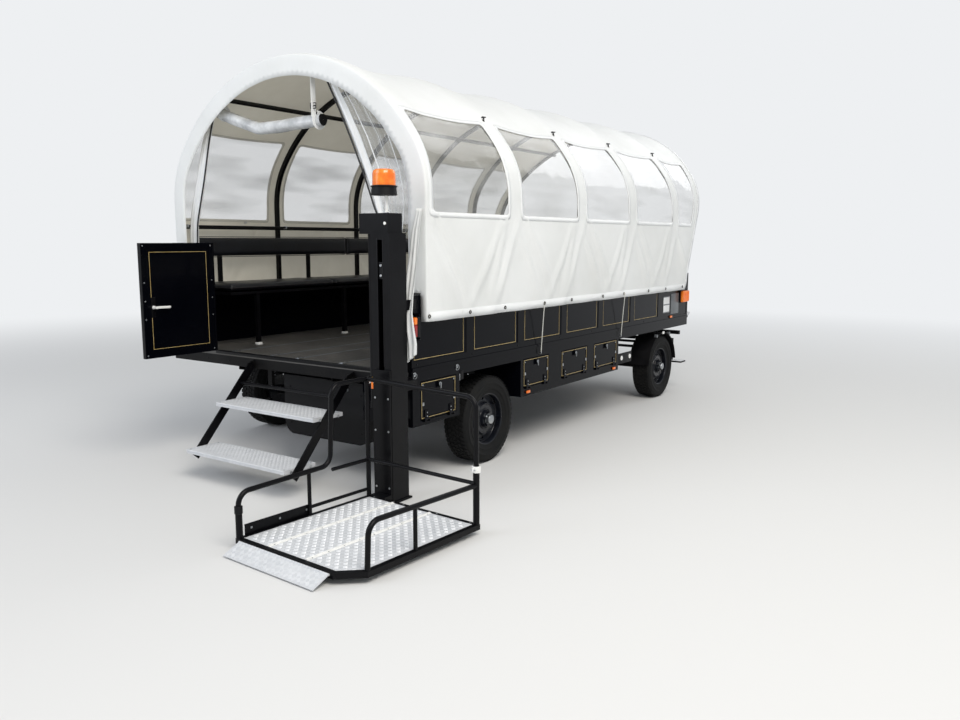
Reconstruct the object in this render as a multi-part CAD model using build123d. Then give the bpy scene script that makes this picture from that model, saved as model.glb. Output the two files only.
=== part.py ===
"""Horse-drawn covered wagon with a wheelchair lift at its rear right corner.

Frame: X to the wagon's right, Y towards the pole, Z up, in millimetres.
The ground is Z = 0, the wagon's middle is X = 0 and the rear hoop stands at Y = 0.
"""
from build123d import *
import math
import os

os.makedirs("parts", exist_ok=True)

# General clearances
TOUCH_GAP = 0.3
RUN_GAP = 5
BEARING_GAP = 0.5
PAST = 200

# Overall width, which the canopy, wheels, lift and lamps follow
BODY_HALF = 1200

# Wheels and axles
WHEEL_RADIUS = 315
TYRE_WIDTH = 186
TYRE_SIDES = 48
RIM_RADIUS = 184
RIM_WIDTH = 132
RIM_WALL = 8
HUB_INSIDE = 50
WHEEL_OUTER_X = BODY_HALF - 30
WHEEL_MID_X = WHEEL_OUTER_X - TYRE_WIDTH / 2
REAR_AXLE_Y = 804
FRONT_AXLE_Y = 3930
AXLE_BEAM = 60
LEAF_THICK = 10
LEAF_WIDTH = 60
LEAF_RADIUS = 1717
LEAF_HALF_LENGTHS = [450, 330, 210]
SPRING_EYE_R = 18
REAR_SPRING_X = 620

# Body
BODY_REAR_Y = -100
BODY_FRONT_Y = 4530
FLOOR_TOP = 770
FLOOR_THICK = 27
FLOOR_BOTTOM = FLOOR_TOP - FLOOR_THICK
AISLE_HALF = 550
AISLE_FRONT_Y = 3690
SILL_BOTTOM = FLOOR_BOTTOM - 43
BOARD_THICK = 30
BOARD_TOP = 1250
PANEL_COUNT = 6
PANEL_PITCH = 652
PANEL_WIDTH = 560
PANEL_FIRST_Y = -80
PANEL_BOTTOM = 838
PANEL_TOP = 1078
PANEL_RECESS = 4
MOULDING_Z = 787
MOULDING_HEIGHT = 22
MOULDING_PROUD = 8
FRONT_PLATE_REAR_Y = 4050
FRONT_BOARD_TOP = 1180
FOOTBOARD_HALF = BODY_HALF - 100
FOOTBOARD_DEPTH = 230
FOOTBOARD_LIP = 120
FOOTBOARD_THICK = 20
FOOTBOARD_TILT = 22
STAY_INSET = 60
STAY_DEPTH = 55
STAY_THICK = 30

# Chassis
RAIL_X = 450
RAIL_WIDTH = 60
RAIL_HEIGHT = 100
CROSS_WIDTH = 60
CROSS_HEIGHT = 70
STEEL_WALL = 6
LONG_CROSS_Y = [354, 1254, 1750, 2280, 2780]
SHORT_CROSS_Y = [3400, 4440]

# Canopy, hoops and windows
CANOPY_HALF = BODY_HALF + 50
CANOPY_TOP = 2830
CANOPY_SPRING_Z = 1880
CANOPY_BOTTOM = 1085
CANOPY_HAUNCH_R = 620
CANOPY_THICK = 4
CANOPY_REAR_Y = -8
CANOPY_FRONT_BOTTOM_Y = 4300
CANOPY_FRONT_TOP_Y = 5000
REAR_BAND_DEPTH = 140
HOOP_DEPTH = 34
HOOP_WIDTH = 30
HOOP_PITCH = 1000
HOOP_COUNT = 5
HOOP_BOTTOM = 1095
HOOD_SETBACK = 12
PURLIN_SIZE = 24
PURLIN_X = BODY_HALF * 0.55
SIDE_PURLIN_Z = 1690
WINDOW_BOTTOM = 1763
WINDOW_TOP = 2390
WINDOW_CORNER = 45
WINDOW_SPANS = [(62, 915), (1111, 1930), (2106, 2895), (3085, 3900)]
FRONT_WINDOW_REAR_Y = 4075
FRONT_WINDOW_MARGIN = 150
FILM_THICK = 2
FILM_LAP = 24

# Rear curtain, rolled up and tied under the rear hoop
ROLL_RADIUS = 45
ROLL_BEND = 400
ROLL_POINTS = [(-740, 2510), (-250, 2360), (350, 2395)]
STRAP_WIDTH = 40
STRAP_THICK = 3
STRAP_INSET = 24

# Lockers under the floor
LOCKER_DEPTH = 420
LOCKER_WALL = 18
LOCKER_BOTTOM = 420
LID_THICK = 20
BAY_TOP = 705
BAY_SIDE = 14
KNUCKLE_R = 7
KNUCKLE_HALF = 18
KNUCKLE_STUB = 12
KNUCKLE_RISE = 8
LEAF_DROP = 10
LEAF_BITE = 3
HINGE_INSET = 55
REAR_LOCKER = (-95, 400)
REAR_BAY = (-20, 362, 450)
MID_LOCKER = (1175, 2850)
MID_BAYS = [(1208, 1590, 484), (1790, 2240, 484), (2360, 2815, 484)]
PUMP_BOX = (-40, BODY_HALF - LOCKER_DEPTH - 20, -30, 320, 220, 643)
PUMP_BOX_ROUND = 90

# Benches
SEAT_FRONT_X = BODY_HALF - 500
SEAT_TOP = 1265
SEAT_PAD = 70
SEAT_BOARD = 20
BENCH_REAR_Y = 60
BENCH_FRONT_Y = 3440
BENCH_LEG = 30
BENCH_LEG_Y = [330, 1300, 2270, 3240]
UPRIGHT_THICK = 14
UPRIGHT_WIDTH = 40
BACKREST_BOTTOM = 1455
BACKREST_TOP = 1620
BACKREST_THICK = 50

# Driver's seat
DRIVER_REAR_Y = 3700
DRIVER_FRONT_Y = 4130
DRIVER_HALF = 620
DRIVER_WALL = 18
DRIVER_BOARD_TOP = 1215
DRIVER_PAD = 65
DRIVER_BACK_TOP = 1610

# Rear end panel, corner posts and door
END_PANEL_INNER_X = 715
END_PANEL_TOP = 1570
END_PANEL_THICK = 30
CORNER_POST_WIDTH = 90
DOOR_WIDTH = 585
DOOR_THICK = 30
DOOR_BOTTOM = 778
DOOR_TOP = 1570
DOOR_PIN_X = -690
DOOR_PIN_Y = -116
DOOR_PIN_R = 9
HINGE_HEIGHT = 60
HINGE_Z = [890, 1450]

# Rear steps
STEP_MID_X = 215
STEP_WIDTH = 950
STEP_PIVOT_Y = -140
STEP_PIVOT_Z = 690
STEP_PIN_R = 9
STEP_EYE_R = 24
TREAD_DEPTH = 262
TREAD_THICK = 25
TREAD_SHEET = 4
TREADS = [(-325, 480), (-578, 200)]
STRINGER_WIDTH = 60
STRINGER_THICK = 10
STEP_LUG_THICK = 8

# Lift
MAST_X = BODY_HALF - 30
MAST_Y = -270
MAST_SIZE = 150
MAST_WALL = 10
MAST_BOTTOM = 12
MAST_TOP = 1630
MAST_HEAD_TOP = 1745
GUIDE_POST_X = MAST_X - 128
GUIDE_POST_BOTTOM = 560
MAST_END = 40
SLOT_HALF = 22
SLOT_DEEP = 40
HEAD_INSET = 10
HEAD_REACH = 42
TIE_HALF = 20
FOOT_THICK = 10
GUIDE_POST_R = 24
ARM_HEIGHT = 60
ARM_Z = [676, 1170]
CARRIAGE_THICK = 10
CARRIAGE_TOP = 820
DECK_BOTTOM = 30
DECK_TOP = 60
DECK_PLATE = 8
DECK_TURN = -3.5
DECK_X = 860
DECK_Y = 955
DECK_CORNER_X = MAST_X - 48
DECK_CORNER_Y = -425
DECK_CHAMFER = 115
DECK_FRAME = 30
DECK_JOINTS = [232, 521]
RAIL_TUBE_R = 14
RAIL_POST_R = 18
RAIL_BEND = 70
FLAP_LENGTH = 108
FLAP_THICK = 5
FLAP_DROP = 24
FLAP_PIN_R = 6
BEACON_POST_R = 8
BEACON_BASE_R = 78
BEACON_DOME_R = 68
BEACON_BASE_Z = 1850
BEACON_DOME_Z = 1900
BEACON_TOP = 2000

# Fore-carriage and pole
RING_OUTER_R = 480
RING_INNER_R = 400
RING_BOTTOM = 563
RING_HEIGHT = 30
RING_GAP = 0.5
FORE_RAIL_X = 420
FORE_RAIL_REAR_Y = 3430
FORE_RAIL_FRONT_Y = 4500
FORE_RAIL_HEIGHT = 60
GUARD_RADIUS = 345
GUARD_THICK = 3
GUARD_INNER_X = WHEEL_OUTER_X - 200
GUARD_OUTER_X = WHEEL_OUTER_X + 15
FRONT_STEP_X = (BODY_HALF - 150, BODY_HALF - 120, BODY_HALF)
FRONT_STEP_Y = (4400, 4440, 4475, 4530)
FRONT_STEP_Z = (295, 310)
EVENER_HALF = 600
EVENER_HEIGHT = 34
LINK_THICK = 12
SINGLETREE_HALF = 450
EVENER_Y = 4470
SINGLETREE_Y = 4790
POLE_PIVOT_Y = 4580
POLE_PIVOT_Z = 533
POLE_LENGTH = 2750
POLE_RADIUS = 30
POLE_RISE = 3
POLE_WALL = 5
POLE_EYE_R = 10
JAW_INSIDE = 60
JAW_THICK = 15
JAW_PIN_R = 12

# Lamps
TAIL_LAMP = (BODY_HALF - 20, BODY_HALF + 75, 1000, 1125)
TAIL_LAMP_DEPTH = 52
LAMP_PLATE = (28, 70, 980, 1145, 3)
FRONT_LAMP = (4300, 4480, 945, 1073)
FRONT_LAMP_DEPTH = 40
MARKERS = [(1242, 450), (2722, 446), (4032, 816)]
MARKER_SIZE = (14, 56, 26)


def write(node, *shapes):
    """Export the solids of one node as parts/NODE.step."""
    items = []
    for shape in shapes:
        items.extend(shape.solids())
    whole = items[0] if len(items) == 1 else Compound(children=items)
    whole.label = node
    export_step(whole, f"parts/{node}.step")


def block(x0, x1, y0, y1, z0, z1):
    """A box between two corners."""
    low = (min(x0, x1), min(y0, y1), min(z0, z1))
    size = (abs(x1 - x0), abs(y1 - y0), abs(z1 - z0))
    return Pos(*low) * Box(*size, align=(Align.MIN, Align.MIN, Align.MIN))


def rod(start, end, radius):
    """A round bar between two points."""
    a, b = Vector(*start), Vector(*end)
    return extrude(Plane(origin=a, z_dir=b - a) * Circle(radius), (b - a).length)


def bent_tube(points, bend, radius):
    """A round tube along straight runs joined by bends of one radius."""
    path = FilletPolyline(*points, radius=bend)
    return sweep(Plane(origin=path @ 0, z_dir=path % 0) * Circle(radius), path)


def side_plate(points, x0, x1):
    """A plate with a YZ outline between two X positions."""
    return extrude(Plane.YZ.offset(x0) * make_face(Polyline(*points, close=True)), x1 - x0)


def channel(x0, x1, y0, y1, z0, z1, wall, open_side):
    """A bar with a U section: the box between two corners, hollowed out from one side."""
    grow = {"x+": (wall, -1, 0, 0, wall, wall), "x-": (-1, wall, 0, 0, wall, wall),
            "z-": (wall, wall, 0, 0, -1, wall), "y-": (wall, wall, -1, wall, 0, 0)}
    if open_side == "z-" and abs(x1 - x0) > abs(y1 - y0):
        a, b, c, d, e, f = 0, 0, wall, wall, -1, wall
    else:
        a, b, c, d, e, f = grow[open_side]
    low_x, high_x, low_y, high_y = min(x0, x1), max(x0, x1), min(y0, y1), max(y0, y1)
    inside = block(low_x + a, high_x - b, low_y + c, high_y - d, z0 + e, z1 - f)
    return block(x0, x1, y0, y1, z0, z1) - inside


def fuse(*solids):
    """One shape from touching or crossing pieces."""
    result = solids[0]
    for solid in solids[1:]:
        result = result + solid
    return result


def mirrored(shape):
    """The same shape on the wagon's other side."""
    return mirror(shape, Plane.YZ)


def both_sides(shape):
    """A shape and its twin on the other side, as two solids."""
    return shape, mirrored(shape)


# Canopy line: vertical sides, haunch arcs and one crown arc

def crown_radius(inset):
    """Radius of the crown arc at a depth under the fabric's outer face."""
    half, rise, haunch = CANOPY_HALF, CANOPY_TOP - CANOPY_SPRING_Z, CANOPY_HAUNCH_R
    outer = ((half - haunch) ** 2 + rise**2 - haunch**2) / (2 * (rise - haunch))
    return outer - inset


def crown_centre_z():
    return CANOPY_TOP - crown_radius(0)


def arch_solid(inset, bottom, y0, y1):
    """Solid block under the canopy line at a given inset, from y0 to y1."""
    haunch = CANOPY_HAUNCH_R - inset
    half = CANOPY_HALF - inset
    haunch_x = CANOPY_HALF - CANOPY_HAUNCH_R
    crown_z = crown_centre_z()
    angle = math.degrees(math.atan2(CANOPY_SPRING_Z - crown_z, haunch_x))
    outline = Wire([
        Line((half, bottom), (half, CANOPY_SPRING_Z)).edge(),
        CenterArc((haunch_x, CANOPY_SPRING_Z), haunch, 0, angle).edge(),
        CenterArc((0, crown_z), crown_radius(inset), angle, 180 - 2 * angle).edge(),
        CenterArc((-haunch_x, CANOPY_SPRING_Z), haunch, 180 - angle, angle).edge(),
        Line((-half, CANOPY_SPRING_Z), (-half, bottom)).edge(),
        Line((-half, bottom), (half, bottom)).edge(),
    ])
    return extrude(Plane.XZ.offset(-y0) * Face(outline), -(y1 - y0))


def arch_shell(outer, inner, bottom, y0, y1):
    """Shell between two insets of the canopy line, open below."""
    return arch_solid(outer, bottom, y0, y1) - arch_solid(inner, bottom - 1, y0 - 1, y1 + 1)


def front_edge_y(z):
    """Where the canopy's leaning front edge is at a height."""
    share = (z - CANOPY_BOTTOM) / (CANOPY_TOP - CANOPY_BOTTOM)
    return CANOPY_FRONT_BOTTOM_Y + share * (CANOPY_FRONT_TOP_Y - CANOPY_FRONT_BOTTOM_Y)


def leaning_slab(near, far):
    """Slab across the wagon between two distances behind the canopy's front edge."""
    low, high = CANOPY_BOTTOM - PAST, CANOPY_TOP + PAST
    outline = [
        (front_edge_y(low) - near, low), (front_edge_y(low) - far, low),
        (front_edge_y(high) - far, high), (front_edge_y(high) - near, high),
    ]
    reach = CANOPY_HALF + PAST
    return side_plate(outline, -reach, reach)


def window_prism(rear, front, grow):
    """The opening of one pair of side windows, through the whole canopy."""
    low, high = WINDOW_BOTTOM - grow, WINDOW_TOP + grow
    if front is None:
        front_low = front_edge_y(WINDOW_BOTTOM) - FRONT_WINDOW_MARGIN + grow
        front_high = front_edge_y(WINDOW_TOP) - FRONT_WINDOW_MARGIN + grow
    else:
        front_low = front_high = front + grow
    outline = [(rear - grow, low), (front_low, low), (front_high, high), (rear - grow, high)]
    reach = CANOPY_HALF + PAST
    prism = side_plate(outline, -reach, reach)
    return fillet(prism.edges().filter_by(Axis.X), WINDOW_CORNER)


def all_windows(grow):
    """Prisms of every window pair, the leaning front one last."""
    prisms = [window_prism(rear, front, grow) for rear, front in WINDOW_SPANS]
    return prisms + [window_prism(FRONT_WINDOW_REAR_Y, None, grow)]


def make_canopy():
    """Fabric cover with its rear band turned in round the hoop and windows cut out."""
    cover = arch_shell(0, CANOPY_THICK, CANOPY_BOTTOM, CANOPY_REAR_Y, CANOPY_FRONT_TOP_Y + PAST)
    cover = cover - leaning_slab(0, CANOPY_FRONT_BOTTOM_Y - CANOPY_FRONT_TOP_Y - 2 * PAST)
    for prism in all_windows(0):
        cover = cover - prism
    band = arch_shell(0, REAR_BAND_DEPTH, CANOPY_BOTTOM, CANOPY_REAR_Y, CANOPY_REAR_Y + CANOPY_THICK)
    band = band - block(-BODY_HALF - 1, BODY_HALF + 1, CANOPY_REAR_Y - 1, CANOPY_REAR_Y + 20,
                        CANOPY_BOTTOM - 1, BOARD_TOP + 1)
    write("canopy", cover + band)


def make_window_film():
    """Clear film panels welded inside the windows."""
    outer = CANOPY_THICK + TOUCH_GAP
    shell = arch_shell(outer, outer + FILM_THICK, CANOPY_BOTTOM, CANOPY_REAR_Y, CANOPY_FRONT_TOP_Y)
    panels = []
    for prism in all_windows(FILM_LAP):
        for side in (-1, 1):
            half = block(0, side * (CANOPY_HALF + PAST), CANOPY_REAR_Y, CANOPY_FRONT_TOP_Y + PAST,
                         0, CANOPY_TOP + PAST)
            panels.append(shell & prism & half)
    write("window_film", *panels)


def hoop_centres():
    """Y of the upright hoops, the first against the canopy's rear band."""
    first = CANOPY_REAR_Y + CANOPY_THICK + TOUCH_GAP + HOOP_WIDTH / 2
    return [first + i * HOOP_PITCH for i in range(HOOP_COUNT)]


def hoop_pad(y0, y1):
    """Pad that stands a hoop's right foot off the side board."""
    inner = CANOPY_HALF - CANOPY_THICK - TOUCH_GAP - HOOP_DEPTH
    return block(BODY_HALF, inner + 2, y0, y1, HOOP_BOTTOM, BOARD_TOP - 20)


def purlin_spots():
    """Place and turn of each purlin's section, close under the hoops, the crown ones first."""
    depth = CANOPY_THICK + HOOP_DEPTH + 2 * TOUCH_GAP + PURLIN_SIZE / 2
    crown = crown_radius(depth)
    spots = []
    for x in (-PURLIN_X, 0, PURLIN_X):
        turn = math.asin(x / crown)
        spots.append((x, crown_centre_z() + crown * math.cos(turn), math.degrees(turn)))
    return spots + [(side * (CANOPY_HALF - depth), SIDE_PURLIN_Z, 0) for side in (-1, 1)]


def make_hoops():
    """Steel hoops bolted to the side boards, the leaning hood bow, and the purlins under them."""
    outer = CANOPY_THICK + TOUCH_GAP
    inner = outer + HOOP_DEPTH
    pieces = []
    for y in hoop_centres():
        arch = arch_shell(outer, inner, HOOP_BOTTOM, y - HOOP_WIDTH / 2, y + HOOP_WIDTH / 2)
        pieces.append(fuse(arch, *both_sides(hoop_pad(y - HOOP_WIDTH / 2, y + HOOP_WIDTH / 2))))
    shell = arch_shell(outer, inner, HOOP_BOTTOM, HOOP_PITCH, CANOPY_FRONT_TOP_Y + PAST)
    foot_y = front_edge_y(HOOP_BOTTOM) - HOOD_SETBACK
    bow = shell & leaning_slab(HOOD_SETBACK, HOOD_SETBACK + HOOP_WIDTH)
    pieces.append(fuse(bow, *both_sides(hoop_pad(foot_y - HOOP_WIDTH, foot_y + HOOP_WIDTH / 3))))
    rear_y = hoop_centres()[0] - HOOP_WIDTH / 2
    for x, z, angle in purlin_spots():
        length = front_edge_y(z) - HOOD_SETBACK - rear_y
        bar = Box(PURLIN_SIZE, length, PURLIN_SIZE, align=(Align.CENTER, Align.MIN, Align.CENTER))
        pieces.append(Pos(x, rear_y, z) * Rot(0, angle, 0) * bar)
    write("hoops", *pieces)


def make_curtain():
    """Rear curtain rolled up under the hoop, with its two tie straps."""
    strap_y = hoop_centres()[0] + HOOP_WIDTH / 2 + TOUCH_GAP
    roll_y = strap_y + STRAP_THICK + TOUCH_GAP + ROLL_RADIUS
    path = [(x, roll_y, z) for x, z in ROLL_POINTS]
    write("curtain_roll", bent_tube(path, ROLL_BEND, ROLL_RADIUS))
    straps = []
    for x, z in (ROLL_POINTS[0], ROLL_POINTS[-1]):
        x = x - math.copysign(STRAP_INSET, x)
        reach = crown_radius(CANOPY_THICK + HOOP_DEPTH / 2)
        top = crown_centre_z() + math.sqrt(reach**2 - x**2)
        straps.append(block(x - STRAP_WIDTH / 2, x + STRAP_WIDTH / 2, strap_y, strap_y + STRAP_THICK,
                            z - ROLL_RADIUS, top))
    write("curtain_straps", *straps)


def rear_beam():
    """Cross-member under the floor's rear edge."""
    return channel(-BODY_HALF, BODY_HALF, BODY_REAR_Y, BODY_REAR_Y + CROSS_WIDTH,
                   FLOOR_BOTTOM - CROSS_HEIGHT, FLOOR_BOTTOM, STEEL_WALL, "z-")


def make_chassis():
    """Ladder frame, upper turntable ring and the lugs that carry the rear steps."""
    rail_bottom = FLOOR_BOTTOM - RAIL_HEIGHT
    cross_bottom = FLOOR_BOTTOM - CROSS_HEIGHT
    frame = rear_beam()
    for spread, centres in ((BODY_HALF - LOCKER_DEPTH, LONG_CROSS_Y), (RAIL_X, SHORT_CROSS_Y)):
        for y in centres:
            frame = frame + channel(-spread, spread, y - CROSS_WIDTH / 2, y + CROSS_WIDTH / 2,
                                    cross_bottom, FLOOR_BOTTOM, STEEL_WALL, "z-")
    for side, opening in ((-1, "x+"), (1, "x-")):
        x0, x1 = side * RAIL_X - RAIL_WIDTH / 2, side * RAIL_X + RAIL_WIDTH / 2
        y0 = BODY_REAR_Y + CROSS_WIDTH / 2
        frame = frame - block(x0, x1, y0, BODY_FRONT_Y, cross_bottom - 1, FLOOR_BOTTOM)
        frame = frame + channel(x0, x1, y0, BODY_FRONT_Y, rail_bottom, FLOOR_BOTTOM, STEEL_WALL, opening)
    ring_low = RING_BOTTOM + RING_HEIGHT + RING_GAP
    ring = extrude(Circle(RING_OUTER_R) - Circle(RING_INNER_R), rail_bottom - ring_low)
    frame = frame + Pos(0, FRONT_AXLE_Y, ring_low) * ring
    for x in step_lug_x():
        frame = frame + step_lug(x)
    write("chassis", frame)


def step_lug_x():
    """X of the inner face of the two lugs outside the step stringers."""
    reach = STEP_WIDTH / 2 + STRINGER_THICK + BEARING_GAP
    return [STEP_MID_X - reach - STEP_LUG_THICK, STEP_MID_X + reach]


def step_lug(x):
    """Lug on the rear cross-member with the pin that the stringer swings on."""
    outline = [(BODY_REAR_Y, STEP_PIVOT_Z - STEP_EYE_R), (STEP_PIVOT_Y - STEP_EYE_R, STEP_PIVOT_Z - STEP_EYE_R),
               (STEP_PIVOT_Y - STEP_EYE_R, STEP_PIVOT_Z + STEP_EYE_R), (BODY_REAR_Y, FLOOR_BOTTOM - 8)]
    plate = side_plate(outline, x, x + STEP_LUG_THICK)
    reach = STRINGER_THICK + BEARING_GAP
    start = x - reach if x > STEP_MID_X else x
    pin = rod((start, STEP_PIVOT_Y, STEP_PIVOT_Z),
              (start + STEP_LUG_THICK + reach, STEP_PIVOT_Y, STEP_PIVOT_Z), STEP_PIN_R)
    return plate + pin


def make_floor():
    """Floor between the side boards: aisle, a strip under each bench, and the driver's part."""
    half = BODY_HALF - BOARD_THICK
    aisle = block(-AISLE_HALF, AISLE_HALF, BODY_REAR_Y, AISLE_FRONT_Y, FLOOR_BOTTOM, FLOOR_TOP)
    strip = block(AISLE_HALF + TOUCH_GAP, half, BODY_REAR_Y, AISLE_FRONT_Y, FLOOR_BOTTOM, FLOOR_TOP)
    front = block(-half, half, AISLE_FRONT_Y + TOUCH_GAP, BODY_FRONT_Y, FLOOR_BOTTOM, FLOOR_TOP)
    write("floor", aisle, *both_sides(strip), front)


def make_side_boards():
    """Side boards with recessed panels, a base moulding, a sill between the lockers and lamp plates."""
    x0, x1 = BODY_HALF - BOARD_THICK, BODY_HALF
    board = block(x0, x1, BODY_REAR_Y, BODY_FRONT_Y, FLOOR_BOTTOM, BOARD_TOP)
    for i in range(PANEL_COUNT):
        y = PANEL_FIRST_Y + i * PANEL_PITCH
        board = board - block(x1 - PANEL_RECESS, x1 + 1, y, y + PANEL_WIDTH, PANEL_BOTTOM, PANEL_TOP)
    board = board - block(x1 - PANEL_RECESS, x1 + 1, FRONT_PLATE_REAR_Y, BODY_FRONT_Y - 25,
                          PANEL_BOTTOM - 20, PANEL_TOP)
    board = board + block(x1, x1 + MOULDING_PROUD, BODY_REAR_Y, BODY_FRONT_Y,
                          MOULDING_Z - MOULDING_HEIGHT / 2, MOULDING_Z + MOULDING_HEIGHT / 2)
    reach_in, reach_out, low, high, thick = LAMP_PLATE
    board = board + block(x1 - reach_in, x1 + reach_out, BODY_REAR_Y - thick, BODY_REAR_Y, low, high)
    front_sill = block(x0, x1, MID_LOCKER[1] + TOUCH_GAP, BODY_FRONT_Y, SILL_BOTTOM, FLOOR_BOTTOM)
    board = board + front_sill
    for word, start in (("right", REAR_LOCKER[1] + TOUCH_GAP), ("left", BODY_REAR_Y + CROSS_WIDTH + TOUCH_GAP)):
        whole = board + block(x0, x1, start, MID_LOCKER[0] - TOUCH_GAP, SILL_BOTTOM, FLOOR_BOTTOM)
        write(f"side_board_{word}", whole if word == "right" else mirrored(whole))


def make_front_end():
    """Low front wall, and the footboard with its stays in front of it."""
    half = BODY_HALF - BOARD_THICK
    write("front_board", block(-half, half, BODY_FRONT_Y - BOARD_THICK, BODY_FRONT_Y,
                               FLOOR_TOP, FRONT_BOARD_TOP))
    tip_y = BODY_FRONT_Y + FOOTBOARD_DEPTH
    plate = block(-FOOTBOARD_HALF, FOOTBOARD_HALF, BODY_FRONT_Y, tip_y,
                  FLOOR_BOTTOM, FLOOR_BOTTOM + FOOTBOARD_THICK)
    lip = block(-FOOTBOARD_HALF, FOOTBOARD_HALF, -8, FOOTBOARD_LIP, 0, FOOTBOARD_THICK)
    board = plate + Pos(0, tip_y, FLOOR_BOTTOM) * Rot(FOOTBOARD_TILT, 0, 0) * lip
    outline = [(BODY_FRONT_Y, FLOOR_BOTTOM), (BODY_FRONT_Y, FLOOR_BOTTOM - STAY_DEPTH),
               (BODY_FRONT_Y + 30, FLOOR_BOTTOM - STAY_DEPTH), (tip_y, FLOOR_BOTTOM - 16),
               (tip_y, FLOOR_BOTTOM)]
    outer = FOOTBOARD_HALF - STAY_INSET
    for x in (-outer, -RAIL_X, RAIL_X, outer):
        board = board + side_plate(outline, x - STAY_THICK / 2, x + STAY_THICK / 2)
    write("footboard", board)


def locker_shell(y0, y1, bays):
    """Hollow locker on the right side with one opening for each bay."""
    x0, x1 = BODY_HALF - LOCKER_DEPTH, BODY_HALF
    face = LID_THICK + RUN_GAP
    shell = block(x0, x1, y0, y1, LOCKER_BOTTOM, FLOOR_BOTTOM)
    for a, b, low in bays:
        inside = block(x0 + LOCKER_WALL, x1 - face, a - BAY_SIDE, b + BAY_SIDE,
                       LOCKER_BOTTOM + LOCKER_WALL, FLOOR_BOTTOM - LOCKER_WALL)
        shell = shell - inside - block(x1 - face - RUN_GAP, x1 + RUN_GAP, a, b, low, BAY_TOP)
        for y in lid_hinge_y(a, b):
            for side in (-1, 1):
                near = y + side * (KNUCKLE_HALF + TOUCH_GAP)
                far = near + side * KNUCKLE_STUB
                axis_x, axis_z = x1 + KNUCKLE_R, low + KNUCKLE_RISE
                stub = rod((axis_x, min(near, far), axis_z), (axis_x, max(near, far), axis_z), KNUCKLE_R)
                leaf = block(x1 - LEAF_BITE, axis_x + KNUCKLE_R, near, far, low - LEAF_DROP, low - LEAF_BITE / 2)
                neck = block(x1, axis_x + KNUCKLE_R, near, far, low - LEAF_BITE, low + LEAF_BITE)
                shell = fuse(shell, stub, leaf, neck)
    return shell


def lid_hinge_y(a, b):
    """Y of the two hinges of the lid between a and b."""
    return a + RUN_GAP + HINGE_INSET, b - RUN_GAP - HINGE_INSET


def make_lockers():
    """Locker boxes ahead of both rear wheels and behind the right one, and the pump box."""
    mid = locker_shell(*MID_LOCKER, MID_BAYS)
    rear = locker_shell(*REAR_LOCKER, [REAR_BAY]) - rear_beam()
    write("lockers_right", mid, rear)
    write("lockers_left", mirrored(mid))
    pump = block(*PUMP_BOX)
    pump = fillet(pump.edges().filter_by(Axis.Y).group_by(Axis.Z)[0], PUMP_BOX_ROUND)
    write("pump_box", pump)


def locker_lid(a, b, low):
    """Drop-down lid of one bay with a raised rim, hinge knuckles and latch."""
    x1 = BODY_HALF
    y0, y1 = a + RUN_GAP, b - RUN_GAP
    z0, z1 = low + RUN_GAP, BAY_TOP - RUN_GAP
    lid = block(x1 - LID_THICK, x1, y0, y1, z0, z1)
    lid = lid - block(x1 - 2, x1 + 1, y0 + 18, y1 - 18, z0 + 18, z1 - 18)
    for y in lid_hinge_y(a, b):
        strap = block(x1 - 2, x1 + 4, y - KNUCKLE_HALF, y + KNUCKLE_HALF, z0, z0 + 60)
        axis_x, axis_z = x1 + KNUCKLE_R, low + KNUCKLE_RISE
        knuckle = rod((axis_x, y - KNUCKLE_HALF, axis_z), (axis_x, y + KNUCKLE_HALF, axis_z), KNUCKLE_R)
        lid = fuse(lid, strap, knuckle)
    mid = (y0 + y1) / 2
    return lid + block(x1 - 3, x1 + 12, mid - 16, mid + 16, z1 - 52, z1 - 14)


def make_lids():
    """Seven locker lids, numbered from the rear on each side."""
    for i, bay in enumerate([REAR_BAY] + MID_BAYS):
        lid = locker_lid(*bay)
        write(f"locker_lid_right_{i + 1}", lid)
        if bay is not REAR_BAY:
            write(f"locker_lid_left_{i}", mirrored(lid))


def make_benches():
    """Long benches: boards on legs, back posts, seat pads and backrests along both sides."""
    wall = BODY_HALF - BOARD_THICK
    board_top = SEAT_TOP - SEAT_PAD
    board_low = board_top - SEAT_BOARD
    frame = [block(SEAT_FRONT_X + 5, wall, BENCH_REAR_Y, BENCH_FRONT_Y, board_low, board_top)]
    for y in BENCH_LEG_Y:
        frame.append(block(SEAT_FRONT_X + 10, SEAT_FRONT_X + 10 + BENCH_LEG, y - BENCH_LEG / 2,
                           y + BENCH_LEG / 2, FLOOR_TOP, board_low - TOUCH_GAP))
        frame.append(block(wall - UPRIGHT_THICK, wall, y - UPRIGHT_WIDTH / 2, y + UPRIGHT_WIDTH / 2,
                           board_top + TOUCH_GAP, BACKREST_TOP - 10))
    write("bench_frames", *frame, *[mirrored(bar) for bar in frame])
    face = wall - UPRIGHT_THICK - TOUCH_GAP
    pad = block(SEAT_FRONT_X, face, BENCH_REAR_Y, BENCH_FRONT_Y, board_top + TOUCH_GAP, SEAT_TOP)
    write("seat_pads", *both_sides(pad))
    rest = block(face - BACKREST_THICK, face, BENCH_REAR_Y + 20, BENCH_FRONT_Y - 20,
                 BACKREST_BOTTOM, BACKREST_TOP)
    write("backrests", *both_sides(rest))


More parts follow.
